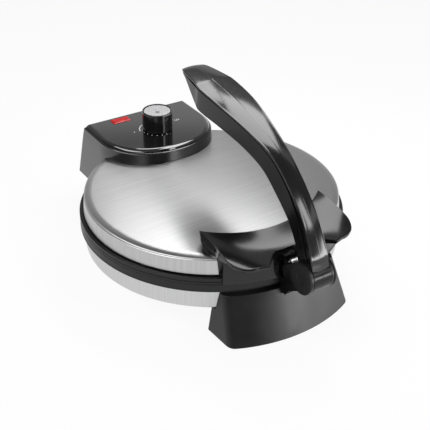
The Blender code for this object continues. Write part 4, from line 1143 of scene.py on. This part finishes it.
def gland_line():
    """Where the cord's gland crosses the rear wall, and the wall's outward direction."""
    height = hinge_axis[1] + 0.017
    outward = Vector((0.0, panel_high.z - box_low.z, 0.0225)).normalized()
    return Vector((0.03, box_rear(height), height)), outward


class ROTI_OT_cord_gland(bpy.types.Operator):
    """Make the ribbed rubber gland in the rear wall"""

    bl_idname = "roti.cord_gland"
    bl_label = "Cord gland"

    def execute(self, context):
        flange, tip = 0.0023, 0.0103
        line = [(0.0, -0.006), (0.0047, -0.006), (0.0047, gap), (0.0072, gap), (0.0072, flange)]
        for rib in range(4):
            near = flange + 0.0019 * rib
            line += [(0.0043, near + 0.0003), (0.0043, near + 0.0009)]
            line += [(0.0047, near + 0.0011), (0.0046, near + 0.0017)]
        line += [(0.0042, tip), (0.0028, tip), (0.0028, gap), (0.0, gap)]
        easing = [0, 0.0003, 0, 0.0005, 0.0006] + [0.0002] * 16 + [0.0004, 0.0003, 0, 0]
        gland = spun(rounded(line, easing, 3, False), 48, *gland_line())
        piece_from("ribbed_gland", gland, "rubber", "lid", ["cord_gland"])
        return {"FINISHED"}


class ROTI_OT_indicator(bpy.types.Operator):
    """Make the red lens with its chamfered top"""

    bl_idname = "roti.indicator"
    bl_label = "Indicator lens"

    def execute(self, context):
        def outline(height, inset):
            return rounded(corners(lens_low, lens_high, inset), 0.0005, 3)

        low, top = lens_low.z, lens_high.z
        levels = [(low, 0.0002), (top - 0.001, 0.0), (top - 0.0002, 0.0011)]
        lens = stacked(outline, levels + [(top, 0.0015), (top - 0.00004, 0.0022)])
        piece_from("lens_window", lens, "lens", "lid", ["indicator_lens"], degrees=25)
        return {"FINISHED"}


class ROTI_OT_dial(bpy.types.Operator):
    """Print the dots, the wedge, the numeral and the word round the knob"""

    bl_idname = "roti.dial"
    bl_label = "Dial marks"

    def execute(self, context):
        sizes = context.scene.roti_control
        top, ink = panel_high.z, 0.00005
        values = {
            "Count": sizes.dot_count, "Circle": sizes.dot_circle, "First Angle": math.radians(-196),
            "Last Angle": math.radians(-84), "Dot Radius": sizes.dot_radius, "Thickness": ink * 2,
        }
        middle = [(0.0, knob_back, top)]
        dots = run_tree("dial_dots", dial_dot_tree, middle, [], "white", values)
        finished(dots, "white", "lid", [])
        outer, inner, reach = [], [], 0.0185
        for share in [step / 24 for step in range(25)]:
            angle = math.radians(112 + 56 * share)
            width = 0.00015 + 0.0013 * math.sin(math.pi * min(share * 0.62, 1.0))
            for line, radius in ((outer, reach + width), (inner, reach)):
                line.append((radius * math.cos(angle), knob_back + radius * math.sin(angle)))
        wedge = upright(outer + inner[::-1], top - ink, top + ink)
        piece_from("dial_wedge", wedge, "white", "lid", [])
        for label, x, y in (("1", -0.025, 0.1124), ("OFF", 0.0275, 0.1137)):
            self.numeral(label, (x, y, top), sizes.numeral, ink)
        return {"FINISHED"}

    def numeral(self, label, place, height, ink):
        """A plain numeral or word, flat on the panel."""
        curve = bpy.data.curves.new("numeral_" + label, "FONT")
        curve.body, curve.size, curve.extrude = label, height, ink
        curve.align_x = curve.align_y = "CENTER"
        source = linked("numeral_source", curve)
        mesh = plain_mesh(source)
        bpy.data.objects.remove(source)
        bpy.data.curves.remove(curve)
        mesh.transform(Matrix.Translation(place))
        close_mesh(mesh)
        finished(linked("dial_numeral_" + label, mesh), "white", "lid", [])


class ROTI_OT_knob(bpy.types.Operator):
    """Make the knob and its silver cap with the index mark"""

    bl_idname = "roti.knob"
    bl_label = "Knob"

    def execute(self, context):
        low = knob_low.z + 0.0004
        cap_low, cap_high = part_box("knob_cap")
        radius, floor, top = cap_high.x, cap_low.z, cap_high.z
        rim, web, shaft = top + 0.0003, floor - 0.0051, 0.0033
        line = [(shaft, low), (0.0153, low), (0.0159, low + 0.0008), (0.0159, rim - 0.0012)]
        line += [(0.0154, rim), (radius + gap, rim), (radius + gap, floor - gap)]
        line += [(0.0, floor - gap), (0.0, web), (shaft, web)]
        profile = rounded(line, [0, 0.0004, 0.0006, 0.0011, 0.0006, 0.0002, 0, 0, 0, 0], 5)
        start = next(i for i, point in enumerate(profile) if point[0] == 0.0)
        profile = profile[start + 1 :] + profile[: start + 1]
        knob = spun(profile, 128, (0.0, knob_back, 0.0))
        piece_from("knob_moulding", knob, "gloss", "knob", ["knob"])
        line = [(0.0, floor), (radius, floor), (radius, top - 0.0004)]
        line += [(radius * 0.6, top - 0.0001), (0.0, top)]
        profile = rounded(line, [0, 0.0001, 0.0005, 0.002, 0], 4, False)
        cap = spun(profile, 128, (0.0, knob_back, 0.0))
        mark = [(-0.0022, -0.0011), (0.0022, -0.0011), (0.0022, 0.0011), (-0.0022, 0.0011)]
        turn, centre = Matrix.Rotation(math.radians(-33), 2), Vector((-0.0019, knob_back - 0.004))
        spots = [tuple(centre + turn @ Vector(spot)) for spot in rounded(mark, 0.0003, 2)]
        recess = cuts(upright(spots, top - 0.0006, top + 0.002))
        piece_from("knob_disc", cap, "silver", "knob", ["knob_cap"], recess, 25)
        index = upright(spots, top - 0.0006, top - 0.0004)
        piece_from("knob_index", index, "dull", "knob", [])
        return {"FINISHED"}


# Grip


grip_half = 0.066
grip_rear = 0.1065
grip_front = 0.1545
grip_skirt = 0.1345
grip_corner = 0.02


def grip_stations():
    """Places across the grip, closer together round its front corners."""
    straight = grip_half - grip_corner
    even = [straight * step / 30 for step in range(30)]
    turns = [straight + grip_corner * math.sin(math.pi / 2 * step / 20) for step in range(21)]
    half = even + turns
    return [-x for x in reversed(half[1:])] + half


def grip_front_reach(x):
    """The front edge: an arc about the plates' axis with rounded corners."""
    straight = grip_half - grip_corner
    if abs(x) <= straight:
        return math.sqrt(grip_front**2 - x * x)
    centre = math.sqrt(grip_front**2 - straight**2) - grip_corner
    side = min(abs(x) - straight, grip_corner)
    return centre + math.sqrt(max(grip_corner**2 - side * side, 0.0))


def grip_height(x, share):
    """Height of the scooped top: share runs from its rear edge to its front edge."""
    across = (x / grip_half) ** 2
    rear = 0.0975 - 0.004 * (1 - across)
    fall = share * (1 - across) + share**2 * across
    scoop = 0.004 * math.sin(math.pi * share) * (1 - across)
    return rear + (0.0875 - rear) * fall - scoop


def grip_section(x, edge):
    """The grip's cut across at x, as points (x, y, z) round its outline."""

    def at(radius, height):
        return (-math.sqrt(radius * radius - x * x), height)

    front = math.hypot(grip_front_reach(x), x)
    depth = front - grip_rear
    top = []
    for step in range(17):
        radius = grip_rear + depth * step / 16
        top.append(at(radius, grip_height(x, (radius - grip_rear) / (grip_front - grip_rear))))
    line = [at(grip_rear, 0.076)] + top + [at(front, top[-1][1] - 0.0035)]
    line += [at(grip_skirt + gap, 0.0815), at(grip_skirt, 0.057), at(wall_radius, 0.057)]
    easing = [0, edge] + [0] * 15 + [edge, edge, 0.0012, 0.0004, 0.0003]
    section = []
    for y, z in rounded(line, easing, 4):
        skirt = min(max((0.0865 - z) / 0.005, 0.0), 1.0)
        section.append((x * (1 - 0.05 * skirt), y, z))
    return section


class ROTI_OT_grip(bpy.types.Operator):
    """Make the grip with its two scooped wings, its pocket and its end ribs"""

    bl_idname = "roti.grip"
    bl_label = "Front grip"

    def execute(self, context):
        sizes = context.scene.roti_grip
        near, bend, far = -0.133, -0.1495, -grip_front - 0.004
        pocket = [(-0.021, near), (-0.037, bend), (-0.037, far)]
        pocket += [(0.037, far), (0.037, bend), (0.021, near)]
        pocket = rounded(pocket, [0.004, 0.004, 0, 0, 0.004, 0.004], 6)
        slot = [(-0.0145, near), (-0.0145, far), (0.0145, far), (0.0145, near)]
        shapes = cuts(lid_room(), upright(pocket, 0.072, 0.102), upright(slot, 0.053, 0.0745))
        height, ear_radius = roller_axis[1], 0.0048
        ear = arc(roller_axis, ear_radius, 90, 270, 20)
        ear += [(-0.1327, height - ear_radius), (-0.1327, height + ear_radius)]
        shapes += ears(ear, 0.0065, 0.0089) + cuts(crosswise(roller_axis, 0.013, 0.0018))
        solid = lofted([grip_section(x, sizes.edge) for x in grip_stations()])
        piece_from("grip_moulding", solid, "grip", "lid", ["lid_grip"], shapes)
        values = {"Count": sizes.rib_count, "Drop": sizes.rib_drop, "Rib Radius": sizes.rib_radius}
        edges = [(step, step + 1) for step in range(14)]
        for label, side in (("left", -1), ("right", 1)):
            path = []
            for step in range(15):
                reach = 0.1085 + 0.0185 * step / 14
                share = (reach - grip_rear) / (grip_front - grip_rear)
                y = -math.sqrt(reach * reach - grip_half * grip_half)
                path.append((side * grip_half, y, grip_height(grip_half, share) - 0.0026))
            ribs = run_tree("grip_ribs_" + label, rib_tree, path, edges, "gloss", values)
            finished(shade(ribs), "gloss", "lid", [])
        return {"FINISHED"}


class ROTI_OT_roller(bpy.types.Operator):
    """Make the press roller in the grip's pocket"""

    bl_idname = "roti.roller"
    bl_label = "Press roller"

    def execute(self, context):
        half = [(0.0047, 0.0002), (0.005, 0.0005), (0.005, 0.0059), (0.0038, 0.0059)]
        half += [(0.0036, 0.0062), (0.0018, 0.0062)]
        easing = [0, 0.0002, 0.0008, 0, 0.0002, 0.0002]
        line = [(radius, -x) for radius, x in reversed(half)] + half
        line = rounded(line, easing[::-1] + easing, 4)
        roller = spun(line, 64, (0.0, *roller_axis), (1.0, 0.0, 0.0))
        piece_from("steel_roller", roller, "steel", "roller", ["press_roller"])
        return {"FINISHED"}


# Lever


lever_rows = [
    (1.041, 0.985, 1.040, 0.972, 1.038, 0.959, 0.38),
    (1.032, 0.995, 1.030, 0.975, 1.026, 0.953, 0.54),
    (0.990, 1.004, 0.987, 0.980, 0.983, 0.938, 0.69),
    (0.860, 1.000, 0.861, 0.961, 0.866, 0.812, 0.885),
    (0.790, 0.985, 0.792, 0.959, 0.803, 0.781, 0.985),
    (0.615, 0.940, 0.619, 0.919, 0.648, 0.755, 0.91),
    (0.430, 0.860, 0.437, 0.839, 0.487, 0.690, 0.67),
    (0.275, 0.760, 0.289, 0.734, 0.360, 0.600, 0.48),
    (0.140, 0.595, 0.164, 0.572, 0.260, 0.480, 0.43),
    (0.040, 0.415, 0.079, 0.390, 0.160, 0.340, 0.42),
    (-0.030, 0.210, 0.018, 0.204, 0.090, 0.195, 0.455),
    (-0.046, 0.130, 0.000, 0.130, 0.075, 0.125, 0.46),
    (-0.061, 0.050, -0.018, 0.058, 0.060, 0.064, 0.462),
]
lever_reach = 0.1936
lever_rise = 0.122
lever_half = 0.0197


def lever_point(along, up):
    return Vector((lever_reach * along + pivot_axis[0], lever_rise * up + pivot_axis[1]))


def hung(loop, start, down):
    """A cut of the lever: its points by their x and their distance down from start."""
    return [(x, *(start + down * fall)) for x, fall in loop]


def cover_loop(top, seam, half, sizes, crease, shrink):
    """The cover's cut across: a crowned top, rounded edges and plain sides."""
    depth = (seam - top).length
    edge = min(sizes.edge, depth * 0.45)
    half = half - shrink
    sag = sizes.crown * half / 2
    inner = half - min(sizes.undercut, depth * 0.8)
    spots = [-1 + step / 12 for step in range(25)]
    line = [(x * (half - edge), sag * x * x - sag * 0.45 + shrink) for x in spots]
    centre = line[12][1]
    line[12:13] = [(-0.0004, centre), (0.0, centre - crease), (0.0004, centre)]
    corner = [(-half, edge * 1.3), (-half, line[0][1]), line[0]]
    left = [(-inner, depth), (-inner, edge * 1.5)] + rounded(corner, [0, edge, 0], 6, False)[:-1]
    right = [(-x, fall) for x, fall in reversed(left)]
    return hung(left + line + right, top, (seam - top) / depth)


def arm_loop(seam, low, half):
    """The arm's cut across: a small upper edge, plain sides and a rounded underside."""
    depth = (low - seam).length
    large = min(0.0018, depth * 0.4) * 1.6
    small = min(0.0004, depth * 0.1)
    outline = [(-half, 0.0), (-half, depth), (half, depth), (half, 0.0)]
    return hung(rounded(outline, [small, large, large, small], 5), seam, (low - seam) / depth)


class ROTI_OT_lever(bpy.types.Operator):
    """Make the press lever: its crowned cover, its arm and its screws"""

    bl_idname = "roti.lever"
    bl_label = "Press lever"

    def execute(self, context):
        sizes = context.scene.roti_lever
        rows = smooth_rows(lever_rows, sizes.steps)
        covers, arms = [], []
        for index, row in enumerate(rows):
            top, seam, low = lever_point(*row[:2]), lever_point(*row[2:4]), lever_point(*row[4:6])
            half = lever_half * row[6]
            tip = min(index / (sizes.steps * 0.5), 1.0)
            share = index / (len(rows) - 1)
            crease = sizes.crease * min(max((share - 0.12) * 6, 0.0), 1.0)
            shrink = 0.0008 * (1 - tip) ** 2
            covers.append(cover_loop(top, seam, half, sizes, crease, shrink))
            seam += (low - seam).normalized() * gap
            arms.append(arm_loop(seam, low, half - 0.0005 - shrink))
        root_seam, root_low = lever_point(-0.018, 0.040), lever_point(0.050, 0.030)
        arms.append(arm_loop(root_seam, root_low, lever_half * 0.46 - 0.0008))
        room, nodes = cuts(crosswise(pivot_axis, 0.012, 0.0149, 96)), ["lever_cover"]
        piece_from("lever_top", lofted(covers), "gloss", "lever", nodes, room, 40)
        radius, width = 0.0146, 0.0186
        barrel = [(0.0, 0.0), (radius, 0.0), (radius, 0.0091), (0.01445, 0.0093)]
        barrel += [(radius, 0.0095), (radius, width), (0.0, width)]
        barrel = rounded(barrel, [0, 0.0003, 0.0001, 0, 0.0001, 0.0003, 0], 4, False)
        hub = spun(barrel, 96, (-width / 2, *pivot_axis), (1.0, 0.0, 0.0))
        shapes = [("UNION", hub)] + cuts(crosswise(pivot_axis, 0.0133, 0.0045))
        places, aims = [], []
        coarse = smooth_rows(lever_rows, 2)
        for share in (0.30, 0.52):
            row = coarse[round(share * (len(coarse) - 1))]
            seam, low = lever_point(*row[2:4]), lever_point(*row[4:6])
            inward = (seam - low).normalized()
            mouth, head = low - inward * 0.004, low + inward * 0.003
            shapes += cuts(rod((0.0, *mouth), (0.0, *(head + inward * 0.0093)), 0.0036))
            places.append((0.0, *head))
            aims.append((0.0, *inward))
        piece_from("lever_under", lofted(arms), "arm", "lever", ["lever_arm"], shapes, 40)
        measures, nodes = (0.0033, 0.003, 0.0021, 0.009), ["lever_screw_1", "lever_screw_2"]
        screw_set("lever_screws", places, aims, measures, "lever", nodes)
        return {"FINISHED"}


class ROTI_OT_hinge(bpy.types.Operator):
    """Make the steel bracket that hangs the lid on its pin"""

    bl_idname = "roti.hinge"
    bl_label = "Hinge bracket"

    def execute(self, context):
        low, high = 0.0665, 0.0775
        bar = [(0.11, low), (0.1315, low), (0.1315, high), (0.11, high)]
        arm = arc(hinge_axis, 0.007, -110, 80, 32) + [(0.11, high), (0.11, low)]
        shapes = ears(arm, 0.031, 0.036, 0.0004)
        shapes += cuts(lid_room(), crosswise(hinge_axis, 0.04, hinge_hole))
        bracket = sideways(rounded(bar, 0.0006, 3), -0.036, 0.036)
        piece_from("hinge_bracket", bracket, "steel", "lid", ["lid_hinge_bracket"], shapes)
        return {"FINISHED"}


# Pieces that stay as the CAD has them


kept_finishes = {
    "sheath": ("bottom_heater", "top_heater"),
    "shield": ("base_heat_shield", "lid_heat_shield"),
    "ceramic": ("thermal_fuse", "terminal_block", "thermostat"),
    "steel": (
        "base_post_1",
        "base_post_2",
        "base_post_3",
        "lid_post_1",
        "lid_post_2",
        "lid_post_3",
        "pivot_pin",
        "hinge_pin",
        "roller_axle",
    ),
    "brass": ("thermostat_shaft", "lever_bush_left", "lever_bush_right"),
    "glass": ("indicator_lamp",),
}


class ROTI_OT_kept_pieces(bpy.types.Operator):
    """Give the heaters, shields, posts, pins and other inner pieces their finishes"""

    bl_idname = "roti.kept_pieces"
    bl_label = "Inner pieces"

    def execute(self, context):
        for finish, nodes in kept_finishes.items():
            for node in nodes:
                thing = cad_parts[node]
                if not thing.material_slots:
                    thing.data.materials.append(finishes[finish])
                for slot in thing.material_slots:
                    slot.link = "OBJECT"
                    slot.material = finishes[finish]
        return {"FINISHED"}


# Stage


stage_centre = Vector((0.0, 0.0, 0.08))
white = (1.0, 1.0, 1.0, 1.0)


def seen_directly(tree):
    """1 for rays from the camera, from gloss and through glass, 0 for the rest."""
    path = add(tree, "ShaderNodeLightPath").outputs
    gloss = maths(tree, "MAXIMUM", path["Is Glossy Ray"], path["Is Camera Ray"])
    return maths(tree, "MAXIMUM", gloss, path["Is Transmission Ray"])


def mixed_in(tree, share, plain, bright, out):
    mix = add(tree, "ShaderNodeMixShader", {0: share, 1: plain, 2: bright})
    tree.links.new(mix.outputs[0], tree.nodes[out].inputs["Surface"])


def node_material(name):
    material = bpy.data.materials.new(name)
    material.use_nodes = True
    return material, material.node_tree


def area_lamp(name, place, aim, size, energy, square):
    """A softbox; square to the X axis, or level with the floor."""
    light = bpy.data.lights.new(name, "AREA")
    light.shape = "RECTANGLE"
    light.size, light.size_y = size
    light.energy = energy
    lamp = linked(name, light)
    back = (Vector(place) - aim).normalized()
    across = Vector((1.0, 0.0, 0.0)) if square else Vector((0.0, 0.0, 1.0)).cross(back)
    across = (across - back * across.dot(back)).normalized()
    turn = Matrix((across, back.cross(across), back)).transposed().to_4x4()
    lamp.matrix_world = Matrix.Translation(place) @ turn
    lamp.visible_camera = False
    return lamp


def sky_place(azimuth, elevation, distance):
    """A place seen from the stage's centre; azimuth 0 is +Y and 90 is +X."""
    a, e = math.radians(azimuth), math.radians(elevation)
    way = Vector((math.sin(a) * math.cos(e), math.cos(a) * math.cos(e), math.sin(e)))
    return stage_centre + way * distance


class ROTI_OT_stage(bpy.types.Operator):
    """Set the floor, the lamps, the room and the camera"""

    bl_idname = "roti.stage"
    bl_label = "Stage"

    def execute(self, context):
        sizes = context.scene.roti_stage
        self.floor(sizes.floor)
        self.room(sizes.fill)
        self.walls()
        for name, place, size, share in (
            ("rear_softbox", (0.15, 0.035, 0.42), (0.17, 0.24), 1.1),
            ("middle_softbox", (0.24, -0.12, 0.42), (0.2, 0.1), 0.05),
            ("far_softbox", (0.07, 0.215, 0.42), (0.14, 0.14), 0.48),
        ):
            below = Vector(place) - Vector((0, 0, 1))
            strip = area_lamp(name, place, below, size, sizes.rear_power * share, True)
            strip.matrix_world = strip.matrix_world @ Matrix.Rotation(math.radians(-30), 4, "Z")
        for name, place, size, energy in (
            ("left_softbox", sky_place(-97, 46, 1.3), (1.6, 0.4), sizes.left_power),
            ("right_softbox", sky_place(134, 1, 1.2), (1.6, 0.2), sizes.right_power * 0.6),
            ("side_softbox", sky_place(140, 23, 1.3), (0.7, 0.2), sizes.right_power * 0.03),
            ("front_softbox", sky_place(157, 32, 1.5), (0.3, 0.6), sizes.front_power),
        ):
            area_lamp(name, place, stage_centre, size, energy, False)
        self.camera(sizes.lens)
        return {"FINISHED"}

    def floor(self, colour):
        bm = bmesh.new()
        bmesh.ops.create_grid(bm, x_segments=1, y_segments=1, size=4.0)
        floor = loose_object("floor", bm)
        material, tree = node_material("pale_floor")
        shader = tree.nodes["Principled BSDF"]
        shader.inputs["Base Color"].default_value = (*colour, 1.0)
        shader.inputs["Roughness"].default_value = 0.9
        glow = add(tree, "ShaderNodeEmission", {"Color": white, "Strength": 1.0})
        share = maths(tree, "MULTIPLY", seen_directly(tree), 0.9)
        mixed_in(tree, share, shader, glow, "Material Output")
        floor.data.materials.append(material)

    def room(self, fill):
        world = bpy.data.worlds.new("room")
        bpy.context.scene.world = world
        world.use_nodes = True
        tree = world.node_tree
        soft = tree.nodes["Background"]
        soft.inputs["Color"].default_value = white
        soft.inputs["Strength"].default_value = fill
        bright = add(tree, "ShaderNodeBackground", {"Color": white, "Strength": 1.0})
        mixed_in(tree, seen_directly(tree), soft, bright, "World Output")

    def walls(self):
        """A dark round tent that only gloss sees; it stands far behind the lamps."""
        line = [(2.6, 0.02), (2.6, 0.8), (2.4, 1.6), (1.7, 2.3), (0.8, 2.6), (0.0, 2.7)]
        tent = loose_object("studio_tent", spun(rounded(line, 0.2, 4, False), 48))
        material, tree = node_material("tent_cloth")
        place = add(tree, "ShaderNodeTexCoord").outputs["Object"]
        way = add(tree, "ShaderNodeVectorMath", {0: place}, operation="NORMALIZE")
        x, y, z = add(tree, "ShaderNodeSeparateXYZ", {0: way}).outputs
        across, back = maths(tree, "MULTIPLY", x, 0.4), maths(tree, "MULTIPLY", y, 0.92)
        far = between(tree, maths(tree, "ADD", across, back), 0.0, 1.0, 0.3, 0.9)
        low = between(tree, z, 0.6, 0.26, 0.455, 0.48)
        high = between(tree, z, 0.0, 0.4, 0.49, 0.62)
        rear_wall = maths(tree, "MULTIPLY", far, maths(tree, "ADD", low, high))
        round_wall = between(tree, z, 0.04, 0.2, 0.1, 0.35)
        strength = maths(tree, "MAXIMUM", rear_wall, round_wall)
        tree.nodes.remove(tree.nodes["Principled BSDF"])
        glow = add(tree, "ShaderNodeEmission", {"Color": white, "Strength": strength})
        tree.links.new(glow.outputs[0], tree.nodes["Material Output"].inputs["Surface"])
        tent.data.materials.append(material)
        for kind in ("camera", "diffuse", "shadow", "transmission"):
            setattr(tent, "visible_" + kind, False)

    def camera(self, lens):
        heading, pitch, roll = math.radians(32.959), math.radians(32.094), 0.00908
        level = math.cos(pitch)
        ahead = Vector((math.sin(heading) * level, math.cos(heading) * level, -math.sin(pitch)))
        right = Vector((math.cos(heading), -math.sin(heading), 0.0))
        up = right.cross(ahead)
        across = right * math.cos(roll) + up * math.sin(roll)
        upward = up * math.cos(roll) - right * math.sin(roll)
        data = bpy.data.cameras.new("camera")
        data.lens, data.sensor_width, data.clip_start = lens, 36.0, 0.01
        camera = linked("camera", data)
        turn = Matrix((across, upward, -ahead)).transposed().to_4x4()
        camera.matrix_world = Matrix.Translation((-0.41222, -0.64262, 0.52579)) @ turn
        bpy.context.scene.camera = camera
        bpy.context.scene.view_settings.view_transform = "Standard"


class ROTI_PT_sidebar(bpy.types.Panel):
    """The pieces of the roti maker and the stage"""

    bl_idname = "ROTI_PT_sidebar"
    bl_label = "Roti Maker"
    bl_space_type = "VIEW_3D"
    bl_region_type = "UI"
    bl_category = "Roti Maker"

    def draw(self, context):
        for operator in operators:
            self.layout.operator(operator.bl_idname)
        for field in settings:
            box = self.layout.box()
            group = getattr(context.scene, field)
            for name in group.bl_rna.properties.keys():
                if name not in ("rna_type", "name"):
                    box.prop(group, name)


settings = {
    "roti_casing": CasingSizes, "roti_plastic": PlasticSizes, "roti_foot": FootSizes,
    "roti_control": ControlSizes, "roti_grip": GripSizes, "roti_lever": LeverSizes,
    "roti_stage": StageSizes,
}

operators = (
    ROTI_OT_finishes, ROTI_OT_casings, ROTI_OT_plates, ROTI_OT_feet, ROTI_OT_pivot, ROTI_OT_hinge,
    ROTI_OT_control_box, ROTI_OT_cord_gland, ROTI_OT_indicator, ROTI_OT_dial, ROTI_OT_knob,
    ROTI_OT_grip, ROTI_OT_roller, ROTI_OT_lever, ROTI_OT_kept_pieces, ROTI_OT_stage,
)


def register():
    for group in settings.values():
        bpy.utils.register_class(group)
    for operator in operators:
        bpy.utils.register_class(operator)
    bpy.utils.register_class(ROTI_PT_sidebar)
    for field, group in settings.items():
        setattr(bpy.types.Scene, field, PointerProperty(type=group))


def unregister():
    for field in settings:
        delattr(bpy.types.Scene, field)
    bpy.utils.unregister_class(ROTI_PT_sidebar)
    for operator in reversed(operators):
        bpy.utils.unregister_class(operator)
    for group in settings.values():
        bpy.utils.unregister_class(group)


def main():
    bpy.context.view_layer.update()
    register()
    for operator in operators:
        part, action = operator.bl_idname.split(".")
        getattr(getattr(bpy.ops, part), action)()


if __name__ == "__main__":
    main()
